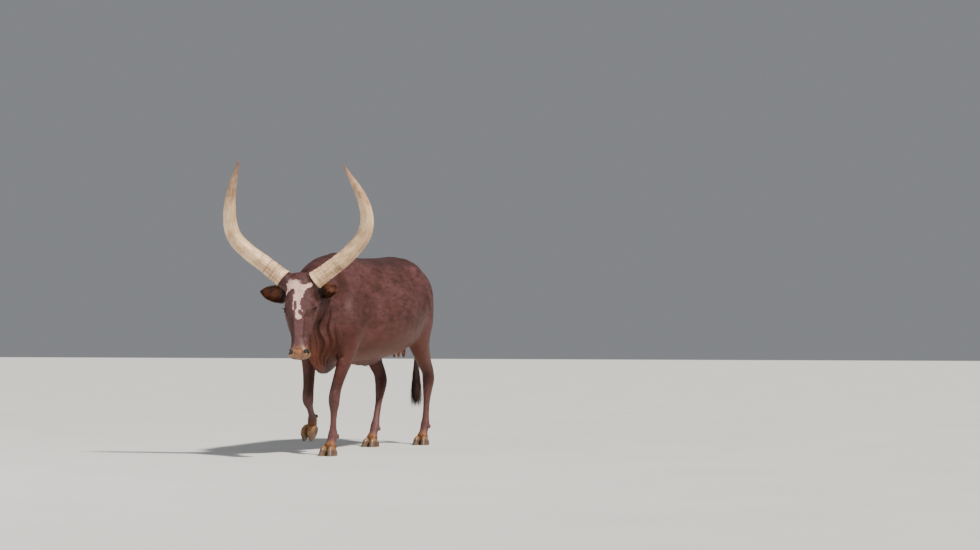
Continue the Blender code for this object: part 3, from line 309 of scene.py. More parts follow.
# Colours, linear
MAHOGANY = (0.055, 0.0176, 0.0138)
MAUVE = (0.104, 0.0400, 0.0395)
# DEEP: darkest brown, for streaks and hair, and also painted shade in the ear hollows, on the up-facing back
# and the lower flank
DEEP = (0.020, 0.0075, 0.0065)
RUSSET = (0.125, 0.034, 0.016)
BLAZE = (0.740, 0.500, 0.430)
MUZZLE_TAN = (0.330, 0.132, 0.042)
MUZZLE_DARK = (0.070, 0.022, 0.014)
PINK_SKIN = (0.290, 0.105, 0.070)
EAR_SKIN = (0.070, 0.024, 0.016)
EAR_GLOW = (0.190, 0.066, 0.028)
GOLD = (0.240, 0.098, 0.033)
# NEAR_BLACK: the lids' dark margin, and painted shade in the nostrils and between the lips
NEAR_BLACK = (0.010, 0.006, 0.005)
# Painted sheen: a pale mauve laid over the head, most on the nose bridge, and on the lower legs, in place of
# the coat's shine
PAINTED_SHEEN = (0.215, 0.112, 0.112)
# Keratin, eyes, switch and floor: tones as (pale, dark) from root to tip for the horns
HORN_TONES = (
    ((0.920, 0.630, 0.380), (0.400, 0.215, 0.110)),
    ((0.840, 0.600, 0.350), (0.430, 0.250, 0.130)),
    ((0.330, 0.145, 0.080), (0.130, 0.052, 0.030)),
)
RING_BROWN = (0.095, 0.048, 0.026)
FIBRE_BROWN = (0.260, 0.150, 0.082)
HOOF_TONES = ((0.150, 0.088, 0.048), (0.048, 0.031, 0.023))
CORONET_TAN = (0.300, 0.150, 0.058)
WORN_EDGE = (0.200, 0.160, 0.130)
GROWTH_BROWN = (0.060, 0.034, 0.022)
PUPIL_HALVES = (0.0098, 0.0062)
PUPIL_BLACK = (0.003, 0.003, 0.004)
IRIS_BROWN = (0.045, 0.020, 0.010)
EYE_RIM = (0.110, 0.060, 0.045)
SWITCH_TONES = ((0.016, 0.009, 0.007), (0.065, 0.031, 0.023))
SWITCH_SHADE = (0.008, 0.006, 0.006)
FLOOR_TONES = ((0.60, 0.59, 0.57), (0.64, 0.63, 0.61))

# Specular levels of coat and wet nose
SKIN_SHINE = 0.20
NOSE_SHINE = 0.70

# White face patch in millimetres: radius, then the places (down, out) of each path; then brown islands in it
BLAZE_STROKES = [
    (23, 36, -44, 44, -14), (31, 70, -46, 82, -10), (12, 84, -46, 108, -74), (21, 86, -10, 84, 34),
    (13, 82, 34, 64, 72), (30, 100, 6, 122, 2), (24, 118, -4, 155, -14, 205, -12),
    (21, 205, -8, 241, 4, 264, 0),
]
BLAZE_ISLANDS = [
    (11, 97, -38, 116, -62), (8.5, 172, -20, 214, -20), (13, 233, 10, 240, 12),
]

# Edge of the nostril and the lips' line, as (down, out, forward) places on the head; painted shade goes
# inside the nostrils and along the lips' gap
NOSTRIL = [(0.484, 0.054, -0.034), (0.475, 0.057, -0.024), (0.473, 0.049, -0.014), (0.481, 0.041, -0.010)]
MOUTH_LINE = [(0.511, 0.026, -0.050), (0.495, 0.062, -0.074), (0.458, 0.060, -0.086)]


def linked(name, data, collection):
    """A new object in the collection."""
    made = bpy.data.objects.new(name, data)
    collection.objects.link(made)
    return made


def circle(count):
    return np.arange(count) * 2 * math.pi / count


def apart(points, place):
    """Distance of each point from a place."""
    return np.linalg.norm(points - np.array(place), axis=1)


def dots(a, b):
    return np.einsum("ij,ij->i", a, b)


def unit(vectors):
    """The vectors at length 1."""
    return vectors / np.maximum(np.linalg.norm(vectors, axis=1), 1e-6)[:, None]


def joined(lofts):
    """Points and faces of several lofts as one mesh."""
    points, faces = [], []
    for some, more in lofts:
        faces += [tuple(i + len(points) for i in face) for face in more]
        points += list(some)
    return points, faces


def mesh_object(name, points, faces, collection):
    mesh = bpy.data.meshes.new(name)
    mesh.from_pydata([tuple(p) for p in points], [], [tuple(f) for f in faces])
    return linked(name, mesh, collection)


def evaluated_copy(obj, name, collection):
    """A new object that holds the mesh as its modifiers leave it. The first object goes."""
    graph = bpy.context.evaluated_depsgraph_get()
    graph.update()
    mesh = bpy.data.meshes.new_from_object(obj.evaluated_get(graph))
    bpy.data.objects.remove(obj, do_unlink=True)
    return linked(name, mesh, collection)


def smooth_rows(rows, steps=STEPS):
    """Rows on a smooth curve through the given rows."""
    rows = np.asarray(rows, float)
    ends = np.vstack([2 * rows[0] - rows[1], rows, 2 * rows[-1] - rows[-2]])
    found = []
    for a, b, c, d in zip(ends, ends[1:], ends[2:], ends[3:]):
        for u in np.arange(steps) / steps:
            bend = (2 * a - 5 * b + 4 * c - d) * u * u + (3 * b - 3 * c + d - a) * u**3
            found.append(0.5 * (2 * b + (c - a) * u + bend))
    found.append(rows[-1])
    return np.array(found)


def signed_power(value, power):
    return np.sign(value) * np.abs(value) ** power


def ring_shape(half_width, front, back, square, narrow, count=RING):
    """A closed section: sideways and forward distances of its points."""
    side = signed_power(np.cos(circle(count)), 2 / square)
    ahead = signed_power(np.sin(circle(count)), 2 / square)
    return half_width * side * (1 - narrow * ahead), np.where(ahead > 0, front, back) * ahead


def skinned(rings):
    """Points and faces of a loft through rings, with a fan over each end."""
    count = len(rings[0])
    points = [p for ring in rings for p in ring]
    faces = []
    for i in range(len(rings) - 1):
        for j in range(count):
            k = (j + 1) % count
            faces.append((i * count + j, i * count + k, (i + 1) * count + k, (i + 1) * count + j))
    for first, order in ((0, -1), (len(rings) - 1, 1)):
        middle = len(points)
        points.append(np.mean(rings[first], axis=0))
        base = first * count
        for j in range(count):
            face = (base + j, base + (j + 1) % count, middle)
            faces.append(face[::order])
    return np.array(points), faces


def halved(faces):
    """The faces with each quad cut in two along the same diagonal."""
    made = []
    for face in faces:
        made += [(face[0], *face[i:i + 2]) for i in range(1, len(face) - 1)]
    return made


def tube(rows, steps=STEPS, count=RING):
    """A loft along a path. Forward is path x side: ahead of a leg, and above a spine that runs ahead."""
    rows = [tuple(row) + (2.0, 0.0)[len(row) - 6:] if len(row) < 8 else row for row in rows]
    fine = smooth_rows(rows, steps)
    rings = []
    for i, row in enumerate(fine):
        along = Vector(fine[min(i + 1, len(fine) - 1)][:3]) - Vector(fine[max(i - 1, 0)][:3])
        along.normalize()
        side = Vector((1, 0, 0))
        side = (side - along * side.dot(along)).normalized()
        ahead = along.cross(side)
        across, forward = ring_shape(*row[3:], count)
        rings.append(row[:3] + np.outer(across, side) + np.outer(forward, ahead))
    return skinned(rings)


def upright_rows(rows):
    """Tube rows from a trunk's top and bottom lines."""
    made = []
    for y, top, bottom, half_width, square, narrow in rows:
        half = (top - bottom) / 2
        made.append((0, y, (top + bottom) / 2, half_width, half, half, square, narrow))
    return made


def head_frame():
    """Columns: down the face, out to the animal's left, and forward from the face."""
    down = Vector((0, -math.sin(FACE_LEAN), -math.cos(FACE_LEAN)))
    forward = Vector((0, -math.cos(FACE_LEAN), math.sin(FACE_LEAN)))
    axes = Matrix((down, Vector((1, 0, 0)), forward)).transposed()
    return Matrix.Rotation(HEAD_TURN, 3, "Z") @ Matrix.Rotation(HEAD_ROLL, 3, "Y") @ axes


def on_head(spots):
    """World places of (down, out, forward) places on the head."""
    return np.asarray(spots, float) @ np.array(head_frame()).T + np.array(POLL)


def head_loft():
    rings = []
    for t, front, back, half_width, square, narrow in smooth_rows(HEAD):
        half = (front - back) / 2
        across, forward = ring_shape(half_width, half, half, square, -narrow)
        local = np.stack([np.full(RING, t), across, forward + (front + back) / 2], axis=1)
        rings.append(on_head(local))
    return skinned(rings)


def fused(name, lofts, voxel, collection):
    """One closed skin round all the lofts."""
    obj = mesh_object(name, *joined(lofts), collection)
    remesh = obj.modifiers.new("skin", "REMESH")
    remesh.mode = "VOXEL"
    remesh.voxel_size = voxel
    return evaluated_copy(obj, name, collection)


def points_of(mesh):
    flat = np.empty(len(mesh.vertices) * 3)
    mesh.vertices.foreach_get("co", flat)
    return flat.reshape(-1, 3)


def normals_of(mesh):
    flat = np.empty(len(mesh.vertices) * 3, np.float32)
    mesh.vertex_normals.foreach_get("vector", flat)
    return flat.reshape(-1, 3).astype(float)


def set_points(mesh, points):
    mesh.vertices.foreach_set("co", points.ravel())
    mesh.update()


def relax(mesh, times, weight=1.0):
    """Moves each point towards the mean of its neighbours, half of the way where the weight is 1."""
    ends = np.empty(len(mesh.edges) * 2, np.int64)
    mesh.edges.foreach_get("vertices", ends)
    a, b = ends.reshape(-1, 2).T
    total = len(mesh.vertices)
    share = np.bincount(a, minlength=total) + np.bincount(b, minlength=total)
    points = points_of(mesh)
    weight = np.broadcast_to(weight, total)[:, None]
    for _ in range(times):
        mean = np.stack([
            np.bincount(a, points[b, k], total) + np.bincount(b, points[a, k], total) for k in range(3)
        ], axis=1) / share[:, None]
        points = points + 0.5 * weight * (mean - points)
    set_points(mesh, points)


def distance_to_path(points, path):
    nearest = np.full(len(points), np.inf)
    path = np.asarray(path, float)
    if len(path) == 1:
        return np.linalg.norm(points - path[0], axis=1)
    for a, b in zip(path, path[1:]):
        along = b - a
        share = np.clip((points - a) @ along / (along @ along), 0, 1)
        nearest = np.minimum(nearest, np.linalg.norm(points - a - share[:, None] * along, axis=1))
    return nearest


def press(mesh, forms):
    """Moves the skin along its normals near each (path, radius, height), out where the height is positive."""
    points = points_of(mesh)
    normals = normals_of(mesh)
    for path, radius, height in forms:
        near = np.clip(1 - (distance_to_path(points, path) / radius) ** 2, 0, 1) ** 2
        points += normals * (near * height)[:, None]
    set_points(mesh, points)


def both_sides(paired):
    """The strokes and their mirror images across the middle of the face."""
    return paired + [([(x, -y, z) for x, y, z in path], r, h) for path, r, h in paired]


def both_flanks(paired):
    """The strokes and their mirror images across x = 0."""
    return paired + [([(-x, y, z) for x, y, z in path], r, h) for path, r, h in paired]


def head_strokes():
    """Strokes on the head, as places (down, out, forward)."""
    paired = strokes([
        (30, 9, 166, 88, -30, 186, 98, -38), (26, 6, 232, 92, -50, 252, 86, -62),
        (34, -10, 110, 88, -75, 150, 92, -92), (22, 6, 255, 84, -85, 330, 64, -80),
        (28, -10, 265, 50, -18, 390, 42, -22), (26, -6, 300, 64, -115, 380, 52, -95),
        (50, 7, 190, 78, -165, 250, 70, -160), (20, 3, 245, 30, -4, 380, 22, 2),
        (24, 5, 472, 58, -12, 490, 50, -14), (12.5, -15, 479, 56, -30, 487, 46, -6),
        (12, 2.5, 504, 30, -36, 486, 66, -66, 448, 60, -78),
        (8.5, -7, 510, 30, -55, 495, 62, -78, 453, 58, -88),
        (13, 3, 503, 22, -75, 482, 52, -96, 448, 50, -100),
    ])
    single = strokes([
        (8.5, -7, 516, -32, -52, 518, 0, -50, 516, 32, -52), (50, 5, -12, -20, -20, -12, 20, -20),
        (12, -2, 469, 0, 6, 495, 0, 0), (35, -3, 120, 0, 4, 200, 0, 2), (30, 5, 503, 0, -85),
    ])
    return [(on_head(path), radius, height) for path, radius, height in both_sides(paired) + single]


def body_strokes():
    """Strokes on trunk, neck and legs: bones that show, hollows between muscles, and folds of skin."""
    paired = strokes([
        (70, 18, 200, 355, 1225, 225, 405, 1212), (60, 7, 110, 385, 1282, 190, 385, 1245),
        (65, 18, 85, 700, 1150, 95, 715, 1120), (115, -17, 235, 255, 1120, 260, 280, 1000),
        (95, -9, 165, 560, 1200, 200, 520, 1090), (110, 9, 215, 450, 960),
        (80, 9, 120, -440, 1215, 190, -550, 1000, 188, -640, 880),
        (110, -10, 200, -320, 1130, 240, -370, 900, 222, -390, 760),
        (80, -8, 150, -640, 1100, 170, -690, 980), (60, 12, 190, -520, 800, 200, -430, 740),
        (60, 10, 225, 220, 760, 215, 300, 720), (40, -6, 125, -760, 960, 130, -860, 960),
        (60, 5, 115, -740, 1060, 120, -850, 1070),
    ])
    single = strokes([
        (70, 12, 0, -480, 1270, 0, -380, 1272), (35, 6, 0, 560, 1290, 0, 100, 1270, 0, -300, 1265),
        (40, 6, 0, -780, 840, 10, -800, 700),
    ])
    ribs = []
    for i in range(6):
        y = -0.230 + 0.085 * i
        path = [(0.250, y, 1.080), (0.318, y + 0.040, 0.900), (0.300, y + 0.050, 0.760)]
        ribs.append((path, 0.030, 0.0016))
    folds = []
    for i in range(4):
        low = 0.640 + 0.070 * i
        y = -0.800 - 0.040 * i
        folds.append(([(0.026, y + 0.080, low + 0.060), (0.026, y, low - 0.020)], 0.018, 0.006 * (-1) ** i))
    return both_flanks(paired + ribs + folds) + single


def horn_path(points, mirror, steps):
    turn = Matrix.Rotation(HEAD_TURN, 3, "Z")
    return smooth_rows([turn @ Vector((mirror * out, -ahead, up)) + POLL for out, ahead, up in points], steps)


def horn_bosses():
    """Skin over the bony root that carries each horn, from inside the head to just inside the horn."""
    lofts = []
    for _, points, mirror in HORNS:
        path = horn_path(points, mirror, 1)
        along = Vector(path[1] - path[0]).normalized()
        side = along.cross(Vector((0, 1, 0))).normalized()
        up = along.cross(side)
        angle = circle(20)
        rings = []
        for reach, radius in BOSS:
            centre = np.array(path[0] + along * reach)
            rings.append(centre + radius * (np.outer(np.cos(angle), side) + np.outer(np.sin(angle), up)))
        lofts.append(skinned(rings))
    return lofts


def ear_mesh(mirror, aim):
    """A cupped leaf, rolled at the root and open to the front."""
    root, along, open_to = ear_facts(mirror, aim)
    across = along.cross(open_to)
    rings = []
    for s in np.linspace(0, 1, EAR_STATIONS):
        leaf = math.sin(math.pi * min(1.0, 0.17 + 0.83 * s) ** 1.02) ** 0.52
        half = max(0.004, EAR_WIDTH / 2 * leaf) if s > 0.15 else 0.0235 + 0.06 * s
        curl = math.radians(ROOT_CURL - CURL_LOST * s)
        radius = half / math.sin(min(curl, math.pi / 2))
        hollow = min(1.0, max(0.0, (s - 0.10) / 0.25))
        angle = np.linspace(-curl, curl, EAR_RING)
        outer = np.stack([radius * np.sin(angle), -radius * np.cos(angle)], axis=1)
        inner = outer * (1 - EAR_WALL / radius)
        chord = np.stack([inner[:, 0], np.full(EAR_RING, inner[0, 1])], axis=1)
        inner = chord * (1 - hollow) + inner * hollow
        section = np.concatenate([outer, inner[::-1]])
        section[:, 1] += radius * math.cos(curl) * 0.35
        centre = root + along * (EAR_LENGTH * s) - Vector((0, 0, EAR_DROOP * s * s))
        rings.append(np.array(centre) + np.outer(section[:, 0], across) + np.outer(section[:, 1], open_to))
    return skinned(rings)


def claw_mesh(place, pitch, turn, side):
    """One claw of a cloven hoof: a flat sole, a sloping toe wall and a lower heel."""
    outline = []
    for angle in circle(CLAW_SIDES):
        ahead = math.cos(angle)
        across = signed_power(math.sin(angle), 0.8)
        width = HOOF_WIDTH / 2 * (1 - 0.22 * max(ahead, 0.0) ** 2)
        outline.append((width * across, HOOF_LENGTH / 2 * signed_power(ahead, 0.85)))
    outline = np.array(outline)
    rings = []
    toe = (outline[:, 1] / HOOF_LENGTH + 0.5)[:, None]
    top = HOOF_HEEL_HEIGHT + (HOOF_TOE_HEIGHT - HOOF_HEEL_HEIGHT) * toe
    for level, size, back in smooth_rows(CLAW_LEVELS, CLAW_STEPS):
        flat = outline * size - np.array([0.0, back * 0.55])
        flat[:, 0] -= side * 0.004 * level
        rings.append(np.concatenate([flat, level * top], axis=1))
    points, faces = skinned(rings)
    points[:, 1] *= -1
    points[:, 0] += side * HOOF_SPREAD
    faces = [face[::-1] for face in faces]
    turned = Matrix.Rotation(turn, 3, "Z") @ Matrix.Rotation(pitch, 3, "X")
    return points @ np.array(turned).T + np.array(place), faces


def closed_object(name, points, faces, collection):
    """A mesh object with all its faces turned out."""
    obj = mesh_object(name, points, faces, collection)
    work = bmesh.new()
    work.from_mesh(obj.data)
    bmesh.ops.recalc_face_normals(work, faces=work.faces)
    if work.calc_volume(signed=True) < 0:
        bmesh.ops.reverse_faces(work, faces=work.faces)
    work.to_mesh(obj.data)
    work.free()
    return obj


def object_of(work, name, collection):
    """An object that takes over a bmesh."""
    mesh = bpy.data.meshes.new(name)
    work.to_mesh(mesh)
    work.free()
    return linked(name, mesh, collection)


def ball(name, radius, collection):
    work = bmesh.new()
    bmesh.ops.create_uvsphere(work, u_segments=48, v_segments=32, radius=radius)
    return object_of(work, name, collection)


def united(obj, other):
    """The object and the other one, which is then removed, as one solid."""
    name, home = obj.name, obj.users_collection[0]
    step = obj.modifiers.new("UNION", "BOOLEAN")
    step.operation = "UNION"
    step.solver = "MANIFOLD"
    step.object = other
    obj = evaluated_copy(obj, name, home)
    bpy.data.objects.remove(other, do_unlink=True)
    obj.name = name
    return obj


def body_lofts():
    return [tube(rows) for rows in (upright_rows(TRUNK), NECK, DEWLAP, NAVEL, *LEGS)]


def eye_places():
    places = {}
    for name, mirror in SIDES:
        spot = (EYE_SPOT[0], mirror * EYE_SPOT[1], EYE_SPOT[2])
        aim = head_frame() @ Vector((EYE_AIM[0], mirror * EYE_AIM[1], EYE_AIM[2])).normalized()
        places[name] = (Vector(on_head([spot])[0]), aim, mirror)
    return places


def outward(points, faces):
    """Faces turned so that the solid's volume is positive."""
    points = np.asarray(points)
    total = 0.0
    for face in faces:
        a = points[face[0]]
        for i in range(1, len(face) - 1):
            total += np.dot(a, np.cross(points[face[i]], points[face[i + 1]]))
    return faces if total > 0 else [tuple(face[::-1]) for face in faces]


def teat_rows(x, y):
    top, low = TEAT_REACH
    rows = []
    for z, width in ((top, 1.3), ((top + low) / 2, 1.1), (low + 0.014, 1.1), (low, 0.8)):
        rows.append((x, y, z) + (TEAT_RADIUS * width,) * 3)
    return rows


def horn_radius(share):
    """Radius at a share of the horn's length: slow taper, fast near the tip, and a flare at the root."""
    even, last, power = HORN_TAPER
    flare, fade = HORN_FLARE
    return HORN_RADIUS * (1 - even * share - last * share**power + flare * math.exp(-share / fade))


def blend(low, high, value):
    """0 below low, 1 above high, smooth between."""
    share = np.clip((value - low) / (high - low), 0, 1)
    return share * share * (3 - 2 * share)


def head_places(points):
    """(down, out, forward) places on the head of world points."""
    return (points - np.array(POLL)) @ np.array(head_frame())


def behind_parting(points):
    place, normal = PARTING
    return (points - np.array(place)) @ np.array(normal)


def head_share(points):
    """How much each point belongs to the head."""
    local = head_places(points)
    inside = (local[:, 0] > -0.09) & (np.abs(local[:, 1]) < 0.30) & (local[:, 2] > -0.26)
    return inside * blend(0.03, -0.03, behind_parting(points))


def subdivided(obj, chosen):
    """Cuts each face whose points are all chosen in four."""
    work = bmesh.new()
    work.from_mesh(obj.data)
    work.verts.ensure_lookup_table()
    edges = [edge for edge in work.edges if chosen[edge.verts[0].index] and chosen[edge.verts[1].index]]
    bmesh.ops.subdivide_edges(work, edges=edges, cuts=1, use_grid_fill=True)
    work.to_mesh(obj.data)
    work.free()


def fold_strokes():
    """Fine folds of skin, tendons and bones, finer than the solids carry."""
    paired, knees = [], []
    for i in range(7):
        share = i / 6
        y = -0.640 - 0.260 * share
        z = 0.640 + 0.250 * share
        path = [(0.030, y + 0.050, z + 0.120), (0.027, y, z + 0.030), (0.020, y - 0.020, z - 0.040)]
        paired.append((path, 0.013, 0.0045 * (-1) ** i))
    for i in range(5):
        y = -0.800 - 0.022 * i
        path = [(0.080, y, 1.120), (0.098, y + 0.012, 1.020), (0.080, y + 0.030, 0.930)]
        paired.append((path, 0.012, -0.0025 if i % 2 else 0.0015))
    for x, y in ((0.106, -0.664), (-0.138, -0.561)):
        knees += [
            ([(x + 0.012, y - 0.040, 0.392), (x + 0.010, y - 0.040, 0.345)], 0.016, 0.0045),
            ([(x - 0.014, y - 0.038, 0.385), (x - 0.012, y - 0.040, 0.350)], 0.014, 0.0040),
            ([(x, y - 0.042, 0.415), (x, y - 0.038, 0.440)], 0.014, -0.0030),
            ([(x - 0.030, y - 0.030, 0.320), (x + 0.030, y - 0.030, 0.320)], 0.010, -0.0030),
            ([(x + 0.034, y + 0.010, 0.400), (x + 0.026, y + 0.012, 0.330)], 0.012, -0.0030),
            ([(x - 0.034, y + 0.010, 0.400), (x - 0.030, y + 0.012, 0.330)], 0.012, -0.0030),
        ]
    paired += strokes([
        (20, -4, 20, -20, 560, 15, 60, 565), (30, 5, 215, 215, 760, 180, 270, 690),
        (20, 5, 205, -430, 780, 200, -370, 700), (60, -4, 190, -470, 960, 205, -420, 880, 205, -400, 800),
        (30, 5, 165, -655, 870, 178, -600, 760), (55, -6, 245, 330, 1130, 255, 390, 1020, 240, 420, 900),
        (50, -6, 232, 500, 1060, 215, 560, 930, 195, 560, 820),
        (30, 6, 120, 640, 1130, 130, 640, 980, 150, 600, 860),
    ])
    tendons = strokes([
        (16, 4, 149, 690, 560, 146, 708, 470), (16, 4, -124, 492, 560, -115, 496, 470),
        (16, -4, 172, 590, 560, 176, 620, 500), (16, -4, -150, 400, 560, -150, 430, 490),
        (10, -3, 119, -650, 230, 116, -650, 160), (10, -3, 80, -650, 230, 78, -650, 160),
        (10, -3, -75, 350, 250, -70, 320, 180), (10, -3, 156, 620, 250, 156, 612, 180),
    ])
    spine = [([(0.0, 0.48 - 0.085 * i, 1.290)], 0.030, 0.0022) for i in range(9)]
    return both_flanks(paired) + knees + tendons + spine


def loose_share(points):
    """How loose the skin hangs: on dewlap, throat and breast."""
    x, y, z = points.T
    loose = blend(-0.50, -0.66, y) * blend(-0.98, -0.90, y) * blend(0.99, 0.84, z) * blend(0.54, 0.60, z)
    return loose * blend(1.10, 0.75, np.abs(x) / 0.16) * (1 - head_share(points))


def wave_folds(mesh):
    """Loose skin in long folds on dewlap, throat and breast, and finer ones on the neck."""
    points = points_of(mesh)
    normals = normals_of(mesh)
    x, y, z = points.T
    side = np.sign(x)
    loose = loose_share(points)
    sway = 0.022 * np.sin(9.0 * z + 1.3 * side) + 0.010 * np.sin(31.0 * z + 2.1 * side)
    slope = y + 0.42 * (z - 0.60) + sway
    wave = np.sin(2 * math.pi * slope / FOLD_SPACING)
    wave += 0.45 * np.sin(2 * math.pi * slope / FINE_FOLD_SPACING + 3.0 * side)
    height = FOLD_HEIGHT * loose * wave
    nape = blend(-0.60, -0.74, y) * blend(-1.02, -0.94, y) * blend(0.90, 1.00, z) * blend(1.22, 1.14, z)
    line = y - 0.20 * (z - 1.0) + 0.008 * np.sin(17.0 * z + side)
    height += NAPE_FOLD_HEIGHT * nape * np.sin(2 * math.pi * line / NAPE_FOLD_SPACING)
    height *= 1 - head_share(points)
    set_points(mesh, points + normals * height[:, None])


def face_strokes():
    """Fine forms of the face, as places (down, out, forward)."""
    paired = strokes([
        (12, -18, 484, 57, -30, 474, 61, -20, 472, 53, -8, 481, 44, -4),
        (9, 4.5, 464, 62, -26, 462, 52, -4, 470, 38, 2), (12, 3, 465, 62, -20, 472, 44, 0),
        (10, 2.2, 495, 56, -30, 496, 40, -12), (5, -5.5, 511, 26, -50, 495, 62, -74, 458, 60, -86),
        (8, 1.8, 505, 30, -40, 490, 64, -64, 457, 61, -77), (14, 3, 300, 60, -60, 360, 52, -60),
        (12, -3.5, 270, 64, -36, 350, 48, -36), (16, -2.6, 240, 48, -12, 330, 38, -24, 410, 34, -22),
        (15, 5, 150, 66, -6, 178, 86, -20, 186, 96, -36), (13, -4, 235, 76, -28, 262, 66, -34),
        (13, 3.6, 255, 86, -66, 330, 66, -84, 380, 56, -90), (12, 2.8, 330, 46, -110, 420, 44, -98),
        (14, -3, 250, 80, -125, 320, 66, -118), (20, -4, 100, 88, -60, 150, 94, -50),
        (14, 4.5, 192, 88, -14, 216, 86, -22, 238, 88, -48, 234, 90, -80),
    ])
    for i in range(4):
        t = 0.134 + 0.013 * i
        path = [(t, 0.052, -0.002), (t + 0.010, 0.078, -0.014), (t + 0.022, 0.096, -0.034)]
        paired.append((path, 0.0055, -0.0019))
    for i in range(3):
        t = 0.236 + 0.012 * i
        path = [(t, 0.066, -0.024), (t + 0.008, 0.082, -0.044), (t + 0.004, 0.094, -0.066)]
        paired.append((path, 0.0055, -0.0014))
    single = strokes([
        (5, -5, 515, -30, -48, 517, 0, -46, 515, 30, -48), (6, -2, 490, 0, 2, 509, 0, -20),
    ])
    return [(on_head(path), radius, height) for path, radius, height in both_sides(paired) + single]


def eye_axes(aim, mirror):
    """The long and the high way of the opening between the lids."""
    down = head_frame() @ Vector((1, 0, 0))
    across = aim.cross(down).normalized() * mirror
    up = across.cross(aim).normalized() * mirror
    long_way = across * math.cos(LID_TILT) - up * math.sin(LID_TILT)
    return long_way, aim.cross(long_way)


def between_lids(points, centre, aim, mirror):
    """Distance from the eye's centre, way from it, and place across its opening, 1 at the lids' edge."""
    away = points - np.array(centre)
    reach = np.linalg.norm(away, axis=1)
    way = away / np.maximum(reach, 1e-6)[:, None]
    lens = 0
    for axis, half in zip(eye_axes(aim, mirror), LID_HALVES):
        lens = lens + np.abs(way @ np.array(axis) * (EYE_RADIUS + EYE_LIFT) / half) ** LID_CURVE
    lens = lens ** (1 / LID_CURVE)
    lens[(way @ np.array(aim) < 0) | (reach > 0.070)] = FAR_FROM_LIDS
    return reach, way, lens


def form_lids(mesh):
    """Stretches the skin over each eyeball and opens it between two lids, with two folds round them."""
    points = points_of(mesh)
    for centre, aim, mirror in eye_places().values():
        reach, way, lens = between_lids(points, centre, aim, mirror)
        near = lens < FAR_FROM_LIDS
        way, lens = way[near], lens[near]
        far = np.maximum(reach[near], EYE_RADIUS + EYE_LIFT)
        for height, place, width in LID_FOLDS:
            far += height * LID_ROLL * np.exp(-((lens - place) / width) ** 2)
        open_share = blend(1.08, 0.92, lens)
        far = far * (1 - open_share) + (EYE_RADIUS - LID_DEPTH) * open_share
        points[near] = np.array(centre) + way * far[:, None]
    set_points(mesh, points)


def lid_margin(points):
    """1 on the bare dark margin of the lids."""
    found = np.zeros(len(points))
    for centre, aim, mirror in eye_places().values():
        reach, _, lens = between_lids(points, centre, aim, mirror)
        found = np.maximum(found, blend(1.30, 1.10, lens) * (reach < EYE_RADIUS + 0.008))
    return found


def ear_facts(mirror, aim):
    """Root, way out and way of opening of an ear."""
    aim = Vector(aim).normalized()
    aim.y *= mirror
    axes = head_frame()
    along = axes @ aim
    front = axes @ Vector((0.10, 0.0, 1.0))
    open_to = (front - along * front.dot(along)).normalized()
    root = Vector(on_head([(EAR_ROOT[0], mirror * EAR_ROOT[1], EAR_ROOT[2])])[0])
    return root, along, open_to


def ear_share(points):
    """For each point: how far out along an ear it is, 0 where it is on none, and that ear's ways."""
    share = np.zeros(len(points))
    opening = np.zeros((len(points), 3))
    along_way = np.zeros((len(points), 3))
    for mirror, aim in EARS:
        root, along, open_to = ear_facts(mirror, aim)
        away = points - np.array(root)
        s = away @ np.array(along) / EAR_LENGTH
        side = np.linalg.norm(away - np.outer(s * EAR_LENGTH, along), axis=1)
        here = (s > 0.10) & (s < 1.10) & (side < 0.075)
        share[here] = s[here]
        opening[here] = open_to
        along_way[here] = along
    return share, opening, along_way


def udder_lofts():
    centre, size = UDDER
    turn = circle(32)
    rings = []
    for i in range(1, 24):
        angle = math.pi * i / 24
        across, deep = np.cos(turn) * math.sin(angle), np.sin(turn) * math.sin(angle)
        ring = np.stack([across, deep, np.full(32, math.cos(angle))], axis=1)
        rings.append(ring * np.array(size) + np.array(centre))
    return [skinned(rings)] + [tube(teat_rows(x, y), THIN_STEPS, THIN_RING) for x, y in TEATS]


def fine_places(points, head_edge):
    """Head, lower legs and loose skin, which carry finer forms than the trunk."""
    return (head_share(points) > head_edge) | (points[:, 2] < 0.42) | (loose_share(points) > 0.02)


def nose_and_eyes(points, from_down, from_ahead, reach):
    down, out, ahead = head_places(points).T
    nose = (down > from_down) & (np.abs(out) < 0.1) & (ahead > from_ahead) & (down < 0.6)
    return nose | (eye_distance(points) < reach)


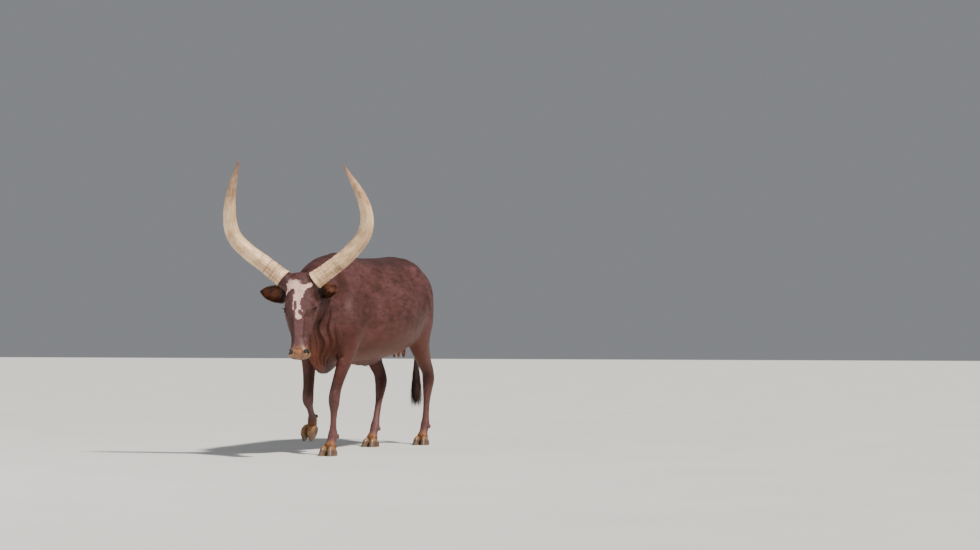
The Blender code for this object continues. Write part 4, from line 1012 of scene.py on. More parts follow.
def make_skin(work):
    """One skin over trunk, neck, head, ears, legs, udder and tail."""
    lofts = body_lofts() + horn_bosses() + [head_loft(), tube(TAIL, THIN_STEPS, THIN_RING)] + udder_lofts()
    skin = fused("skin", lofts, SKIN_VOXEL, work)
    mesh = skin.data
    points = points_of(mesh)
    soft = blend(0.90, 1.45, udder_distance(points, 1.25)) * (1 - 0.9 * blend(0.735, 0.765, points[:, 1]))
    head = head_share(points)
    trunk = np.clip((points[:, 2] - 0.45) / 0.15, 0, 1) * (1 - head) * soft
    for times, weight in ((2, 1.0), (4, (1 - head) * soft), (26, trunk), (3, head)):
        relax(mesh, times, weight)
    press(mesh, body_strokes())
    press(mesh, fold_strokes())
    relax(mesh, 16, trunk)
    points = points_of(mesh)
    points -= normals_of(mesh) * COAT_DEPTH * (1 - 0.5 * head_share(points))[:, None]
    set_points(mesh, points)
    subdivided(skin, fine_places(points, 0.3))
    points = points_of(mesh)
    relax(mesh, 4, fine_places(points, 0.2))
    wave_folds(mesh)
    relax(mesh, 2, loose_share(points))
    press(mesh, head_strokes())
    for mirror, aim in EARS:
        points, faces = ear_mesh(mirror, aim)
        skin = united(skin, closed_object("ear", points, outward(points, halved(faces)), work))
    mesh = skin.data
    points = points_of(mesh)
    near_root = np.zeros(len(points))
    for mirror, aim in EARS:
        root, along, _ = ear_facts(mirror, aim)
        near_root = np.maximum(near_root, blend(0.052, 0.030, apart(points, root + along * 0.030)))
    relax(mesh, 5, near_root)
    subdivided(skin, nose_and_eyes(points, 0.43, -0.14, 0.052))
    relax(mesh, 3, nose_and_eyes(points_of(mesh), 0.42, -0.15, 0.056))
    press(mesh, face_strokes())
    relax(mesh, 1, head_share(points_of(mesh)))
    form_lids(mesh)
    skin.name = "skin"
    return skin


def field(spots, patches, islands):
    """Above 0 inside the patches and outside the islands, in shares of their radius."""
    def away(radius, *path):
        return distance_to_path(spots, np.reshape(path, (-1, 2)) / 1000) / (radius / 1000)

    found = np.full(len(spots), -1.0)
    for patch in patches:
        found = np.maximum(found, 1 - away(*patch))
    for island in islands:
        found = np.minimum(found, away(*island) - 1)
    return np.clip(found, -1, 1)


def markings(points, normals):
    """Shares of each colour at points of the skin, painted shade and painted sheen among them."""
    y, z = points[:, 1], points[:, 2]
    local = head_places(points)
    down, out, ahead = local[:, 0], np.abs(local[:, 1]), local[:, 2]
    head = head_share(points)
    trunk = 1 - head
    ear, opening, _ = ear_share(points)
    skull = head * (ear < 0.1)
    facing = normals @ np.array(head_frame() @ Vector((0, 0, 1)))
    face = skull * (facing > 0.05) * (ahead > -0.095)
    leg = blend(0.591, 0.48, z)
    under = blend(0.0, -0.9, normals[:, 2]) * blend(0.448, 0.60, z) * trunk
    throat = blend(-0.45, -0.62, y) * blend(0.894, 0.78, z) * blend(0.448, 0.52, z) * trunk
    flank = blend(0.868, 0.70, z) * blend(0.490, 0.62, z) * trunk
    cheek = skull * blend(-0.02, -0.12, ahead)
    udder = blend(1.25, 1.0, udder_distance(points))
    for x, spot in TEATS:
        close = np.hypot(points[:, 0] - x, y - spot)
        udder = np.maximum(udder, blend(0.030, 0.020, close) * (z < 0.72))
    nose = skull * blend(0.420, 0.482, down)
    nose_side = nose * blend(0.034, 0.066, out) * blend(-0.075, -0.040, ahead)
    # Nose bridge, where the most painted sheen goes
    bridge = skull * blend(0.60, 0.97, facing) * blend(0.050, 0.016, out)
    # Painted shade: black inside the nostrils and along the gap between the lips
    painted_hole_shade = np.zeros(len(points))
    for path, far, near, share in ((NOSTRIL, 0.0150, 0.0095, 1.0), (MOUTH_LINE, 0.006, 0.0030, 0.8)):
        for mirror in (1, -1):
            line = on_head([(t, mirror * side, front) for t, side, front in path])
            painted_hole_shade = np.maximum(painted_hole_shade, share * blend(far, near, distance_to_path(points, line)))
    tail = blend(0.717, 0.790, y) * blend(1.12, 0.95, z)
    # Up-facing back: the coat's darker top, deepened with painted shade against the light from above
    crest = blend(0.500, 0.95, normals[:, 2]) * blend(1.15, 1.22, z) * trunk
    gold = np.max([blend(0.116, 0.066, apart(points, place)) for place, _, _ in FEET.values()], axis=0)
    in_ear = np.clip((ear > 0.08) * blend(0.0, 0.45, dots(normals, opening)), 0, 1)
    breast = 0.55 * throat * blend(0.74, 0.60, z) * blend(-0.60, -0.74, y)
    warm = 0.60 * under + breast + 0.30 * flank + 0.10 * cheek + 0.20 * leg
    lower_leg = 0.40 * leg * blend(0.200, 0.45, z)
    eyes = 0.40 * blend(0.034, 0.024, eye_distance(points))
    return {
        "blaze": np.where(face > 0.3, field(local[:, :2], BLAZE_STROKES, BLAZE_ISLANDS), -1.0),
        "warm": np.clip(warm, 0, 1),
        # dark: darker coat on lower legs, tail and round the eyes; painted shade on the up-facing back and
        # the lower flank
        "dark": np.clip(lower_leg + 0.6 * tail + 0.60 * crest + 0.12 * flank + eyes, 0, 1),
        "muzzle": np.clip(nose, 0, 1),
        "bare": np.clip(udder, 0, 1),
        "in_ear": in_ear,
        # root: painted shade deep in each ear's hollow, towards its root
        "root": np.clip(in_ear * blend(0.62, 0.25, ear), 0, 1),
        "gold": gold,
        # black: painted shade in nostrils and the lips' gap, the lids' dark margin, and darker sides of the
        # muzzle
        "black": np.clip(painted_hole_shade + 0.85 * lid_margin(points) + 0.55 * nose_side, 0, 1),
        # Painted sheen: pale mauve on the nose bridge, over the whole head and on the lower legs
        "bloom": 0.18 * bridge + 0.10 * skull + 0.22 * blend(0.44, 0.36, z),
        "upright": np.clip(leg + head + tail + throat, 0, 1),
    }


def eye_distance(points):
    return np.min([apart(points, centre) for centre, _, _ in eye_places().values()], axis=0)


def udder_distance(points, size=1.0):
    """Distance from the middle of the udder, in shares of its size."""
    return np.linalg.norm((points - np.array(UDDER[0])) / (size * np.array(UDDER[1])), axis=1)


def set_marks(mesh, marks):
    for name, values in marks.items():
        layer = mesh.attributes.new(name, "FLOAT", "POINT")
        layer.data.foreach_set("value", values.astype(np.float32))


class Nodes:
    """A material and short ways to add to its nodes. A plain value goes on the socket itself."""

    def __init__(self, name):
        self.material = bpy.data.materials.new(name)
        self.material.use_nodes = True
        self.tree = self.material.node_tree
        self.shader = self.tree.nodes["Principled BSDF"]

    def feed(self, socket, value):
        if isinstance(value, bpy.types.NodeSocket):
            self.tree.links.new(value, socket)
        else:
            socket.default_value = (*value, 1.0) if socket.type == "RGBA" else value

    def add(self, kind, inputs, output=0, **settings):
        node = self.tree.nodes.new("ShaderNode" + kind)
        for key, value in settings.items():
            setattr(node, key, value)
        for key, value in inputs.items():
            self.feed(node.inputs[key], value)
        return node.outputs[output]

    def mark(self, name):
        return self.add("Attribute", {}, "Fac", attribute_name=name)

    def spot(self, *scale):
        place = self.add("TexCoord", {}, "Object")
        return self.add("Mapping", {"Vector": place, "Scale": scale or (1, 1, 1)}, "Vector")

    def noise(self, scale, detail=3.0, rough=0.5, place=None):
        inputs = {"Vector": place or self.spot(), "Scale": scale, "Detail": detail, "Roughness": rough}
        return self.add("TexNoise", inputs, "Fac")

    def span(self, value, low, high, first=0.0, last=1.0):
        inputs = {"Value": value, "From Min": low, "From Max": high, "To Min": first, "To Max": last}
        return self.add("MapRange", inputs, "Result")

    def sum(self, a, b):
        return self.add("Math", {0: a, 1: b})

    def product(self, a, b):
        return self.add("Math", {0: a, 1: b}, operation="MULTIPLY")

    def mix(self, factor, a, b):
        return self.add("Mix", {0: factor, 6: a, 7: b}, 2, data_type="RGBA")

    def blend_floats(self, factor, a, b):
        return self.add("Mix", {0: factor, 2: a, 3: b}, data_type="FLOAT")

    def bump(self, height, strength, distance, **below):
        inputs = {"Strength": strength, "Distance": distance, "Height": height, **below}
        return self.add("Bump", inputs, "Normal")

    def finish(self, **inputs):
        for key, value in inputs.items():
            self.feed(self.shader.inputs[key.replace("_", " ")], value)
        return self.material


def hair_pattern(nodes):
    """Fine streaks that follow the lie of the coat: back along the trunk, down on head and legs."""
    lying = nodes.noise(330.0, 4.0, 0.65, nodes.spot(1, 0.09, 0.9))
    hanging = nodes.noise(330.0, 4.0, 0.65, nodes.spot(1, 1, 0.09))
    return nodes.blend_floats(nodes.mark("upright"), lying, hanging)


def coat_colour(nodes, hair):
    """The coat's colour from the marks that skin and tufts share, and how much of it is bare nose."""
    colour = nodes.mix(nodes.span(nodes.noise(5.5, 6.0, 0.65), 0.38, 0.60), MAHOGANY, MAUVE)
    streak = nodes.noise(38.0, 5.0, 0.6, nodes.spot(1, 0.35, 1))
    inner_ear = nodes.mix(nodes.span(nodes.noise(26.0), 0.42, 0.62), EAR_SKIN, EAR_GLOW)
    edge = nodes.span(nodes.noise(60.0, 4.0), 0.3, 0.7, -0.30, 0.30)
    patch = nodes.span(nodes.sum(nodes.mark("blaze"), edge), -0.02, 0.08)
    fleck = nodes.mix(nodes.span(nodes.noise(70.0), 0.50, 0.75, 0, 0.6), BLAZE, PINK_SKIN)
    rim = nodes.span(nodes.noise(45.0), 0.3, 0.7, -0.25, 0.25)
    nose = nodes.span(nodes.sum(nodes.mark("muzzle"), rim), 0.25, 0.90)
    mottle = nodes.span(nodes.noise(34.0, 5.0, 0.6), 0.44, 0.66, 0.0, 0.85)
    for share, over in (
        (nodes.span(streak, 0.42, 0.70, 0.0, 0.65), DEEP),
        (nodes.mark("warm"), RUSSET),
        # dark: darker coat, with painted shade on the up-facing back and the lower flank
        (nodes.product(nodes.mark("dark"), 0.85), DEEP),
        # painted sheen: pale mauve on head, nose bridge and lower legs
        (nodes.mark("bloom"), PAINTED_SHEEN),
        (nodes.mark("in_ear"), inner_ear),
        # painted shade in the ear's hollow near its root
        (nodes.mark("root"), DEEP),
        (nodes.mark("gold"), GOLD),
        (patch, fleck),
        (nodes.span(hair, 0.42, 0.68, 0.0, 0.42), DEEP),
        (nose, nodes.mix(mottle, MUZZLE_TAN, MUZZLE_DARK)),
        (nodes.mark("bare"), nodes.mix(mottle, PINK_SKIN, MUZZLE_DARK)),
        # black: painted shade in nostrils and the lips' gap, with the lids' dark margin
        (nodes.mark("black"), NEAR_BLACK),
    ):
        colour = nodes.mix(share, colour, over)
    return colour, nose


def skin_material():
    """Coat and bare nose. The linked shine also has the coat's value on its socket, for the export."""
    nodes = Nodes("short_coat")
    hair = hair_pattern(nodes)
    colour, nose = coat_colour(nodes, hair)
    cells = {"Vector": nodes.spot(), "Scale": 260.0}
    cells = nodes.add("TexVoronoi", cells, "Distance", feature="DISTANCE_TO_EDGE")
    pebble = nodes.span(cells, 0.0, 0.25, 0.42, 0.70)
    normal = nodes.bump(nodes.noise(45.0, 5.0, 0.6), 0.40, 0.005)
    normal = nodes.bump(nodes.blend_floats(nose, hair, pebble), 0.80, 0.0020, Normal=normal)
    dry, wet = nodes.span(hair, 0.3, 0.7, 0.40, 0.60), nodes.span(pebble, 0.42, 0.70, 0.26, 0.16)
    nodes.finish(Base_Color=colour, Roughness=nodes.blend_floats(nose, dry, wet), Normal=normal)
    nodes.finish(Specular_IOR_Level=SKIN_SHINE)
    return nodes.finish(Specular_IOR_Level=nodes.span(nose, 0.0, 1.0, SKIN_SHINE, NOSE_SHINE))


def tuft_material():
    nodes = Nodes("coat_tufts")
    colour, _ = coat_colour(nodes, hair_pattern(nodes))
    shade = nodes.mark("shade")
    colour = nodes.mix(nodes.span(shade, 0.0, 1.0, 0.0, 0.16), colour, DEEP)
    rough = nodes.span(shade, 0.0, 1.0, 0.42, 0.58)
    return nodes.finish(Base_Color=colour, Roughness=rough, Specular_IOR_Level=0.22)


def horn_material():
    nodes = Nodes("horn_keratin")
    reach = nodes.mark("reach")
    place = {0: nodes.mark("round_x"), 1: nodes.mark("round_y"), 2: nodes.product(reach, 3.0)}
    place = nodes.add("CombineXYZ", place)
    fibre = nodes.noise(26.0, 5.0, 0.7, place)
    stain = nodes.noise(11.0, 5.0, 0.6)
    mixed = nodes.span(nodes.sum(nodes.noise(5.0, 6.0, 0.65, place), stain), 0.80, 1.22)
    root, middle, tip = (nodes.mix(mixed, pale, dark) for pale, dark in HORN_TONES)
    share = nodes.sum(reach, nodes.span(stain, 0.3, 0.7, -0.09, 0.09))
    colour = nodes.mix(nodes.span(share, 0.06, 0.34), root, middle)
    colour = nodes.mix(nodes.span(share, 0.66, 0.97), colour, tip)
    colour = nodes.mix(nodes.product(nodes.mark("ring"), 0.75), colour, RING_BROWN)
    colour = nodes.mix(nodes.span(fibre, 0.48, 0.72, 0.0, 0.45), colour, FIBRE_BROWN)
    normal = nodes.bump(fibre, 0.45, 0.0030)
    normal = nodes.bump(nodes.noise(240.0), 0.15, 0.0010, Normal=normal)
    return nodes.finish(Base_Color=colour, Roughness=nodes.span(mixed, 0.0, 1.0, 0.36, 0.58), Normal=normal)


def hoof_material():
    nodes = Nodes("hoof_keratin")
    level = nodes.mark("level")
    stain = nodes.noise(38.0, 4.0)
    growth = nodes.noise(7.0, 2.0, 0.5, nodes.add("CombineXYZ", {2: level}))
    colour = nodes.mix(nodes.span(stain, 0.3, 0.7), *HOOF_TONES)
    colour = nodes.mix(nodes.span(level, 0.55, 1.0, 0.0, 0.80), colour, CORONET_TAN)
    colour = nodes.mix(nodes.span(level, 0.14, 0.0, 0.0, 0.45), colour, WORN_EDGE)
    colour = nodes.mix(nodes.span(growth, 0.45, 0.65, 0.0, 0.50), colour, GROWTH_BROWN)
    grain = nodes.noise(300.0, 3.0, 0.6, nodes.spot(1, 1, 0.10))
    normal = nodes.bump(growth, 0.30, 0.0030)
    normal = nodes.bump(grain, 0.30, 0.0012, Normal=normal)
    return nodes.finish(Base_Color=colour, Roughness=nodes.span(stain, 0.3, 0.7, 0.24, 0.48), Normal=normal)


def eye_material():
    """Wet dark brown eye: a wide pupil, a brown iris and a paler rim at the corners."""
    nodes = Nodes("wet_eye")
    place = nodes.add("TexCoord", {}, "Object")
    across, up = (nodes.add("SeparateXYZ", {0: place}, axis) for axis in ("X", "Y"))

    def out(wide, high):
        """Square of the distance from the middle of the eye, in shares of the two lengths."""
        sides = [nodes.product(across, 1 / wide), nodes.product(up, 1 / high)]
        return nodes.sum(*(nodes.product(side, side) for side in sides))

    colour = nodes.mix(nodes.span(out(*PUPIL_HALVES), 0.55, 1.1), PUPIL_BLACK, IRIS_BROWN)
    colour = nodes.mix(nodes.span(out(1, 1), 0.000205, 0.000260), colour, EYE_RIM)
    nodes.finish(Roughness=0.05, Coat_Weight=0.15, Coat_Roughness=0.02, Specular_IOR_Level=0.25)
    return nodes.finish(Base_Color=colour)


def hair_material():
    nodes = Nodes("switch_hair")
    fine = nodes.noise(160.0, 3.0, 0.5, nodes.spot(1, 1, 0.12))
    colour = nodes.mix(nodes.span(fine, 0.3, 0.7), *SWITCH_TONES)
    colour = nodes.mix(nodes.span(nodes.mark("shade"), 0.0, 1.0, 0.0, 0.5), colour, SWITCH_SHADE)
    rough = nodes.span(fine, 0.3, 0.7, 0.40, 0.60)
    return nodes.finish(Base_Color=colour, Roughness=rough, Specular_IOR_Level=0.25)


def horn_form(points, mirror):
    """A fine horn ringed near its root, with marks for its length, its rings and the way round it."""
    path = horn_path(points, mirror, 16)
    reach = np.concatenate([[0], np.cumsum(np.linalg.norm(np.diff(path, axis=0), axis=1))])
    share = reach / reach[-1]
    random = np.random.default_rng(3 + mirror)
    phases = random.random(6) * 2 * math.pi
    places = FIRST_RING + RINGED_SPAN * np.sort(random.random(RING_LINES)) ** 1.15
    side = Vector((0, -1, 0))
    angle = circle(HORN_SIDES)
    rings, lines = [], []
    for i, place in enumerate(path):
        along = Vector(path[min(i + 1, len(path) - 1)] - path[max(i - 1, 0)]).normalized()
        side = (side - along * side.dot(along)).normalized()
        up = along.cross(side)
        s = share[i]
        radius = horn_radius(s) - KERATIN_DEPTH
        wavy = s + 0.0022 * np.sin(angle + phases[0]) + 0.0012 * np.sin(3 * angle + phases[1])
        groove = np.zeros(HORN_SIDES)
        for k, spot in enumerate(places):
            depth = 0.5 + 0.5 * math.sin(7.1 * k + phases[2])
            groove = np.maximum(groove, (0.35 + 0.65 * depth) * np.exp(-((wavy - spot) / RING_WIDTH) ** 2))
        swell = 0.0010 * np.sin(2 * math.pi * s / 0.034 + phases[3]) * math.exp(-((s / 0.22) ** 2))
        ridges = 0.0005 * np.sin(9 * angle + phases[4]) + 0.0007 * np.sin(5 * angle + phases[5] + 3 * s)
        shape = (radius - RING_DEPTH * groove + swell + ridges * (1 - s)) * (1 + 0.03 * np.cos(2 * angle))
        rings.append(place + np.outer(shape * np.cos(angle), side) + np.outer(shape * np.sin(angle), up))
        lines.append(groove)
    made, faces = skinned(rings)
    marks = {
        "reach": np.append(np.repeat(share, HORN_SIDES), [0, 1]),
        "ring": np.append(np.concatenate(lines), [0, 0]),
        "round_x": np.append(np.tile(np.cos(angle), len(rings)), [0, 0]),
        "round_y": np.append(np.tile(np.sin(angle), len(rings)), [0, 0]),
    }
    return made, faces, marks


def coated(obj, material):
    """The object with its material and smooth shading."""
    obj.data.materials.append(material)
    obj.data.shade_smooth()
    return obj


def make_horns(work):
    """Rows of piece, slot and the node that it replaces, as the other makers give too."""
    keratin = horn_material()
    made = []
    for name, line, mirror in HORNS:
        points, faces, marks = horn_form(line, mirror)
        obj = closed_object("keratin_horn_" + name, points, faces, work)
        set_marks(obj.data, marks)
        made.append((coated(obj, keratin), "horn", "horn_" + name))
    return made


def make_hooves(work):
    """Finer claws with rounded tops and marks for their growth rings, and the dewclaws."""
    sole = hoof_material()
    made = []
    for name, (place, pitch, turn) in FEET.items():
        for label, side in SIDES:
            points, faces = claw_mesh(place, pitch, turn, side)
            rows = (len(points) - 2) // CLAW_SIDES
            for row in range(rows):
                ring = slice(CLAW_SIDES * row, CLAW_SIDES * (row + 1))
                middle = points[ring].mean(axis=0)
                size = 1 - 0.34 * blend(0.72, 1.06, row / (rows - 1))
                points[ring] = middle + (points[ring] - middle) * size
            obj = closed_object(f"keratin_claw_{name}_{label}", points, faces, work)
            level = np.repeat(np.arange(rows) / (rows - 1), CLAW_SIDES)
            set_marks(obj.data, {"level": np.append(level, [0.0, 1.0])})
            coated(obj, sole).data.set_sharp_from_angle(angle=SHARP_ANGLE)
            made.append((obj, "hoof", f"claw_{name}_{label}"))
    return made + [(coated(make_dewclaws(work), sole), "hoof")]


def make_dewclaws(work):
    """Two small claws behind each fetlock."""
    lofts = []
    for rows, row in zip(LEGS, FETLOCK_ROWS):
        middle = Vector(rows[row][:3])
        shin = (Vector(rows[row + 1][:3]) - Vector(rows[row - 1][:3])).normalized()
        across = Vector((1, 0, 0))
        back = across.cross(shin).normalized()
        back = back if back.dot(Vector((0, 1, 0))) > 0 else -back
        for side in (1, -1):
            start = middle + back * (rows[row][5] - 0.004) + across * side * DEWCLAW_APART
            way = (shin * 0.95 + back * 0.35 + across * side * 0.10).normalized()
            wide = way.cross(back).normalized()
            deep = way.cross(wide)
            rings = []
            turn = circle(DEWCLAW_RING)
            for reach, size in DEWCLAW_RINGS:
                ring = np.array(start + way * reach) + DEWCLAW_WIDE * size * np.outer(np.cos(turn), wide)
                rings.append(ring + DEWCLAW_DEEP * size * np.outer(np.sin(turn), deep))
            points, faces = skinned(rings)
            lofts.append((points, outward(points, halved(faces))))
    points, faces = joined(lofts)
    obj = mesh_object("keratin_dewclaws", points, faces, work)
    set_marks(obj.data, {"level": np.full(len(points), 0.4)})
    return obj


def make_lashes(skin_marks, material, work):
    """Short lashes along each upper lid."""
    random = np.random.default_rng(TUFT_SEED + 1)
    roots, ways, ups = [], [], []
    wide, high = LID_HALVES
    for centre, aim, mirror in eye_places().values():
        long_way, high_way = eye_axes(aim, mirror)
        upper = high_way if high_way.z > 0 else -high_way
        for share in np.linspace(-0.85, 0.85, LASHES):
            up = high * (1 - abs(share) ** LID_CURVE) ** (1 / LID_CURVE)
            flat = long_way * (wide * share) + upper * up
            depth = math.sqrt(max(0.0, (EYE_RADIUS + EYE_LIFT) ** 2 - flat.length_squared))
            way = (aim * 0.9 + upper * 0.35 + long_way * (0.5 * share) + Vector((0, 0, -0.25))).normalized()
            roots.append(centre + flat + aim * depth)
            ways.append(way)
            ups.append((upper - way * upper.dot(way)).normalized())
    roots, ways, ups = (np.array(v, float) for v in (roots, ways, ups))
    ways = unit(ways + random.normal(0, 0.08, ways.shape))
    count = len(roots)
    marks = {key: np.zeros(count) for key in skin_marks}
    marks |= {"black": np.ones(count), "blaze": np.full(count, -1.0), "shade": np.ones(count)}
    lengths = LASH_LENGTH + LASH_SPREAD * random.random(count)
    widths, lifts = np.full(count, LASH_WIDTH), np.full(count, LASH_LIFT)
    spots = unwrapped(roots)
    obj = blades("coat_lashes", roots, ways, ups, lengths, widths, lifts, marks, spots, work, 3, 0.6)
    obj.data.materials.append(material)
    return obj


def make_eyes(work):
    wet = eye_material()
    made = []
    for name, (centre, aim, mirror) in eye_places().items():
        eye = ball("wet_eye_" + name, EYE_RADIUS, work)
        axes = Matrix((*eye_axes(aim, mirror), aim)).transposed()
        eye.matrix_world = Matrix.Translation(centre) @ axes.to_4x4()
        made.append((coated(eye, wet), "eye", "eye_" + name))
    return made


def triangles_of(mesh):
    mesh.calc_loop_triangles()
    found = np.empty(len(mesh.loop_triangles) * 3, np.int64)
    mesh.loop_triangles.foreach_get("vertices", found)
    return found.reshape(-1, 3)


def sampled(points, triangles, density, count, random):
    """Random spots on the triangles: corners and shares, as many where the density is higher."""
    a, b, c = points[triangles[:, 0]], points[triangles[:, 1]], points[triangles[:, 2]]
    area = np.linalg.norm(np.cross(b - a, c - a), axis=1) * density[triangles].mean(axis=1)
    edges = np.cumsum(area)
    chosen = np.searchsorted(edges, random.random(count) * edges[-1])
    chosen = np.minimum(chosen, len(triangles) - 1)
    u, v = random.random(count), random.random(count)
    flip = u + v > 1
    u[flip], v[flip] = 1 - u[flip], 1 - v[flip]
    return triangles[chosen], np.stack([1 - u - v, u, v], axis=1)


def lie_of_coat(points, normals):
    """The way that the hair lies at each point."""
    y, z = points[:, 1], points[:, 2]
    head = head_share(points)[:, None]
    leg = blend(0.70, 0.52, z)[:, None]
    neck = (blend(-0.55, -0.80, y) * blend(0.0, 0.03, behind_parting(points)))[:, None]
    tail = (blend(0.765, 0.790, y) * blend(1.18, 1.05, z))[:, None]
    way = np.array([0.0, 1.0, -0.35]) * (1 - head) * (1 - leg) * (1 - neck)
    way = way + np.array([0.0, 0.75, -0.75]) * neck
    way = way + np.array([0.0, 0.10, -1.0]) * leg * (1 - head)
    way = way + np.array(head_frame() @ Vector((1.0, 0.0, -0.2))) * head
    way = way * (1 - tail) + np.array([0.0, 0.0, -1.0]) * tail
    ear, _, ear_way = ear_share(points)
    way = np.where((ear > 0.1)[:, None], ear_way, way)
    return unit(way - normals * dots(way, normals)[:, None])


def blades(name, roots, ways, ups, lengths, widths, lifts, marks, spots, work, rings, thick, droop=0.0,
           shaded_as=None):
    """Closed tapered tufts, each with a patch of the map at its root, and with the normals where given."""
    count = len(roots)
    sides = unit(np.cross(ways, ups))
    per = 3 * rings + 1
    points = np.empty((count, per, 3))
    taper = SHORT_TAPER if rings == 2 else LONG_TAPER
    for r in range(rings):
        s = r / rings
        centre = roots + ways * (lengths * s)[:, None] + ups * (lifts * s * (1.6 - s))[:, None]
        centre[:, 2] -= droop * lengths * s * s
        for k, (across, out) in enumerate(((-0.5, 0.0), (0.5, 0.0), (0.0, thick))):
            corner = sides * (widths * taper[r] * across)[:, None]
            points[:, 3 * r + k] = centre + corner + ups * (widths * taper[r] * out)[:, None]
    points[:, -1] = roots + ways * lengths[:, None] + ups * (lifts * 0.6)[:, None]
    points[:, -1, 2] -= droop * lengths
    quads = []
    for r in range(rings - 1):
        for k in range(3):
            n = (k + 1) % 3
            quads.append((3 * r + k, 3 * r + 3 + k, 3 * r + 3 + n, 3 * r + n))
    last = 3 * (rings - 1)
    tris = [(last + k, per - 1, last + (k + 1) % 3) for k in range(3)] + [(0, 1, 2)]
    pattern = [v for face in quads + tris for v in face]
    sizes = [4] * len(quads) + [3] * len(tris)
    loops = (np.arange(count)[:, None] * per + np.array(pattern)).ravel()
    starts = np.concatenate([[0], np.cumsum(sizes)[:-1]])
    starts = (np.arange(count)[:, None] * len(pattern) + starts).ravel()
    mesh = bpy.data.meshes.new(name)
    mesh.vertices.add(count * per)
    mesh.vertices.foreach_set("co", points.ravel())
    mesh.loops.add(len(loops))
    mesh.loops.foreach_set("vertex_index", loops.astype(np.int32))
    mesh.polygons.add(count * len(sizes))
    mesh.polygons.foreach_set("loop_start", starts.astype(np.int32))
    mesh.update(calc_edges=True)
    mesh.validate()
    set_marks(mesh, {key: np.repeat(values, per) for key, values in marks.items()})
    layer = mesh.uv_layers.new(name="OFBake")
    inside = np.zeros((per, 2))
    for r in range(rings):
        inside[3 * r:3 * r + 3] = [(-0.5, r / rings), (0.5, r / rings), (0.0, r / rings + 0.1)]
    inside[-1] = (0.0, 1.0)
    placed = spots[:, None, :] + BLADE_PATCH * (inside - np.array([0.0, 0.5]))
    layer.data.foreach_set("uv", placed.reshape(-1, 2)[loops].astype(np.float32).ravel())
    mesh.polygons.foreach_set("use_smooth", np.ones(count * len(sizes), bool))
    if shaded_as is not None:
        mesh.normals_split_custom_set_from_vertices(np.repeat(shaded_as, per, axis=0))
    return linked(name, mesh, work)


def turn_share(side, ahead):
    """The way round an axis, as a share of the full turn."""
    return np.arctan2(side, ahead) / (2 * math.pi) + 0.5


def unwrapped(points):
    """A map of the skin: trunk and neck round the spine, legs round their bones, head round its axis."""
    x, y, z = points.T
    down, out, ahead = head_places(points).T
    head = head_share(points) > 0.5
    left, hind = x > 0, y > 0
    round_leg = turn_share(x - np.where(left, 0.13, -0.14), y - np.where(hind, 0.5, -0.58))
    leg_u = MAP_EDGE + (hind * 2.0 + left) * 0.12 + round_leg * 0.105
    u = np.where(z < 0.60, leg_u, turn_share(x, z - 0.93) * 0.94 + MAP_EDGE)
    v = np.where(z < 0.60, np.clip(z / 0.60, 0, 1) * MAP_HALF + MAP_UPPER,
                 np.clip((y + 1.05) / 1.95, 0, 1) * MAP_HALF + MAP_EDGE)
    u = np.where(head, turn_share(out, ahead + 0.10) * MAP_HALF + MAP_UPPER, u)
    v = np.where(head, np.clip((down + 0.12) / 0.70, 0, 1) * MAP_HALF + MAP_UPPER, v)
    return np.stack([u, v], axis=1)


def coat_piece(name, skin, density, material, work, count, length, width, lift, seed, rings=2, droop=0.0,
               curl=0.15):
    """Tufts over the part of the skin where the density is above 0."""
    random = np.random.default_rng(seed)
    points, normals, triangles, marks = skin
    corners, shares = sampled(points, triangles, density, count, random)
    roots = np.einsum("ij,ijk->ik", shares, points[corners])
    ups = unit(np.einsum("ij,ijk->ik", shares, normals[corners]))
    ways = lie_of_coat(roots, ups)
    ways = unit(ways + np.cross(ways, ups) * random.normal(0, curl, count)[:, None])
    lengths = length * (0.7 + 0.6 * random.random(count))
    widths = width * (0.7 + 0.6 * random.random(count))
    lifts = lift * (0.5 + random.random(count))
    taken = {key: dots(shares, values[corners]) for key, values in marks.items()}
    taken["shade"] = random.random(count)
    roots = roots - ups * ROOT_DEPTH
    thick = 0.12 if rings == 2 else 0.25
    obj = blades(name, roots, ways, ups, lengths, widths, lifts, taken, unwrapped(roots), work, rings, thick,
                 droop, ups)
    obj.data.materials.append(material)
    return obj


def make_coat(skin_obj, marks, work):
    """Tufts over the skin, as thick as the coat is at each place, and the lashes."""
    mesh = skin_obj.data
    points, normals = points_of(mesh), normals_of(mesh)
    material = tuft_material()
    skin = (points, normals, triangles_of(mesh), marks)
    head = head_share(points)
    ear, _, _ = ear_share(points)
    y, z = points[:, 1], points[:, 2]
    down, _, ahead = head_places(points).T
    bare = np.clip(marks["bare"] + marks["muzzle"] + marks["black"], 0, 1)
    body = (1 - head) * blend(0.45, 0.60, z) * (1 - bare)
    throat = blend(-0.45, -0.60, y) * blend(0.90, 0.72, z) * (1 - head)
    density = {
        "body": body,
        "legs": (1 - head) * blend(0.60, 0.45, z) * blend(0.045, 0.06, z) * (1 - bare),
        "face": head * (ear < 0.10) * (1 - bare) * (eye_distance(points) > 0.026),
        "ears": head * (ear > 0.10),
        "poll": head * blend(0.05, 0.0, down) * blend(-0.16, -0.13, ahead),
        "underline": blend(-0.2, -0.8, normals[:, 2]) * body + throat * body,
        "coronets": marks["gold"] * (z > 0.03),
    }
    made = [coat_piece(name, skin, density[place], material, work, *row) for name, place, *row in TUFTS]
    return made + [make_lashes(marks, material, work)]


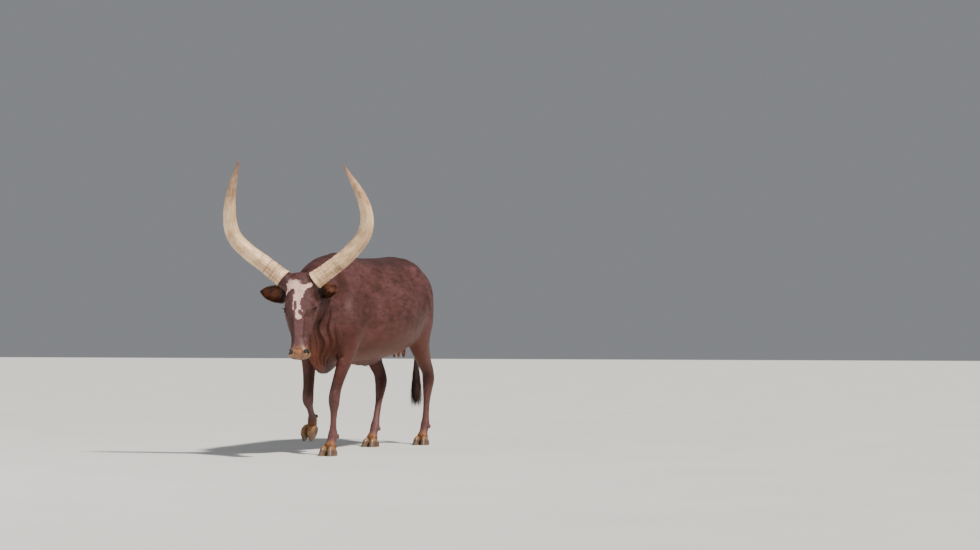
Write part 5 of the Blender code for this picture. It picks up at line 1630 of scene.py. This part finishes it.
def make_switch_hair(work):
    """Long tapered locks from the tail's end."""
    random = np.random.default_rng(TUFT_SEED)
    count = SWITCH_HAIRS
    turn = random.random(count) * 2 * math.pi
    start = SWITCH_SPAN * random.random(count) ** 0.6 - SWITCH_ABOVE
    out = np.stack([np.cos(turn), np.sin(turn), np.zeros(count)], axis=1)
    radius = np.where(start < 0.02, 0.0105, 0.004 + 0.010 * random.random(count))
    roots = np.array(SWITCH_TOP) + out * radius[:, None]
    roots[:, 2] -= SWITCH_LENGTH * start
    roots[:, 1] += 0.018 * np.maximum(0, -start)
    flare = 0.02 + 0.13 * random.random(count) * blend(-0.25, 0.15, start)
    ways = np.array([0.0, 0.0, -1.0]) + out * flare[:, None]
    ways = unit(ways + random.normal(0, 0.018, (count, 3)) * blend(-0.3, 0.2, start)[:, None])
    ups = unit(out - ways * dots(out, ways)[:, None])
    lengths = SWITCH_LENGTH * (1 - start) * (0.45 + 0.52 * random.random(count))
    widths = 0.0028 + 0.0030 * random.random(count)
    lifts = lengths * 0.05 * random.random(count) * blend(-0.2, 0.2, start)
    shares = np.stack([turn / (2 * math.pi), (start + SWITCH_ABOVE) / SWITCH_SPAN], axis=1)
    spots = 0.05 + 0.9 * shares
    obj = blades("hair_tail_switch", roots, ways, ups, lengths, widths, lifts,
                 {"shade": random.random(count)}, spots, work, 5, 0.35, 0.0, ups)
    obj.data.materials.append(hair_material())
    return obj


def finished(obj, shift, slot, *nodes):
    """Puts a piece in the row's frame, on the body, in place of its solids."""
    world = obj.matrix_world.copy()
    obj.matrix_world = Matrix.Translation(shift) @ world
    for collection in list(obj.users_collection):
        collection.objects.unlink(obj)
    bpy.context.scene.collection.objects.link(obj)
    bpy.context.view_layer.update()
    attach(obj, "root")
    if nodes:
        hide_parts(*nodes)


def light(name, kind, place, aim, energy, size, colour):
    data = bpy.data.lights.new(name, kind)
    data.energy = energy
    data.color = colour
    if kind == "AREA":
        data.shape = "DISK"
        data.size = size
    else:
        data.angle = size
    lamp = linked(name, data, bpy.context.scene.collection)
    lamp.location = place
    lamp.rotation_euler = (Vector(place) - Vector(aim)).to_track_quat("Z", "Y").to_euler()


def make_stage(shift):
    """Camera at the photo's angle, pale floor and soft light."""
    scene = bpy.context.scene
    right = Vector((math.cos(CAMERA_YAW), math.sin(CAMERA_YAW), 0))
    ahead = Vector((-math.sin(CAMERA_YAW), math.cos(CAMERA_YAW), 0))
    depth = FOCAL_PIXELS * CAMERA_HEIGHT / (TOE_ROW - HORIZON_ROW)
    across = (TOE_COLUMN - PHOTO_WIDTH / 2) / FOCAL_PIXELS * depth
    data = bpy.data.cameras.new("camera")
    camera = linked("camera", data, scene.collection)
    scene.camera = camera
    data.sensor_width = SENSOR_WIDTH
    data.lens = FOCAL_PIXELS / PHOTO_WIDTH * SENSOR_WIDTH
    data.clip_end = CLIP_END
    camera.location = TOE_PLACE + shift - right * across - ahead * depth + Vector((0, 0, CAMERA_HEIGHT))
    pitch = math.atan((HORIZON_ROW - PHOTO_HEIGHT / 2) / FOCAL_PIXELS)
    look = ahead * math.cos(pitch) + Vector((0, 0, math.sin(pitch)))
    camera.rotation_euler = look.to_track_quat("-Z", "Y").to_euler()
    work = bmesh.new()
    bmesh.ops.create_grid(work, x_segments=1, y_segments=1, size=FLOOR_HALF)
    floor = object_of(work, "floor", scene.collection)
    nodes = Nodes("pale_floor")
    dust = nodes.span(nodes.noise(1.3, 4.0), 0.3, 0.7)
    floor.data.materials.append(nodes.finish(Base_Color=nodes.mix(dust, *FLOOR_TONES), Roughness=0.9))
    world = bpy.data.worlds.new("soft_sky")
    scene.world = world
    world.use_nodes = True
    sky = world.node_tree.nodes["Background"].inputs
    sky["Color"].default_value = SKY_COLOUR
    sky["Strength"].default_value = SKY_STRENGTH
    axes = Matrix((right, ahead, Vector((0, 0, 1)))).transposed()
    middle = Vector((0, 0, LIT_HEIGHT))
    sun, lamp = (middle + axes @ Vector(place) for place in (SUN_PLACE, FILL_PLACE))
    light("key", "SUN", sun, middle, SUN_STRENGTH, SUN_ANGLE, SUN_COLOUR)
    light("fill", "AREA", lamp, middle, FILL_WATTS, FILL_SIZE, FILL_COLOUR)


def main():
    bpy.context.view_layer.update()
    low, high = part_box("eye_left")
    shift = (low + high) / 2 - eye_places()["left"][0]
    work = bpy.data.collections.new("work")
    bpy.context.scene.collection.children.link(work)
    skin = make_skin(work)
    marks = markings(points_of(skin.data), normals_of(skin.data))
    set_marks(skin.data, marks)
    skin.data.materials.clear()
    coated(skin, skin_material())
    flesh = [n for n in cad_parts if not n.startswith(("eye", "horn", "claw", "tail_switch"))]
    pieces = [(skin, "coat", *flesh)] + [(tufts, "coat") for tufts in make_coat(skin, marks, work)]
    pieces += make_horns(work) + make_hooves(work) + make_eyes(work)
    pieces += [(make_switch_hair(work), "tail_hair", "tail_switch")]
    for piece, slot, *nodes in pieces:
        finished(piece, shift, slot, *nodes)
    make_stage(shift)


main()
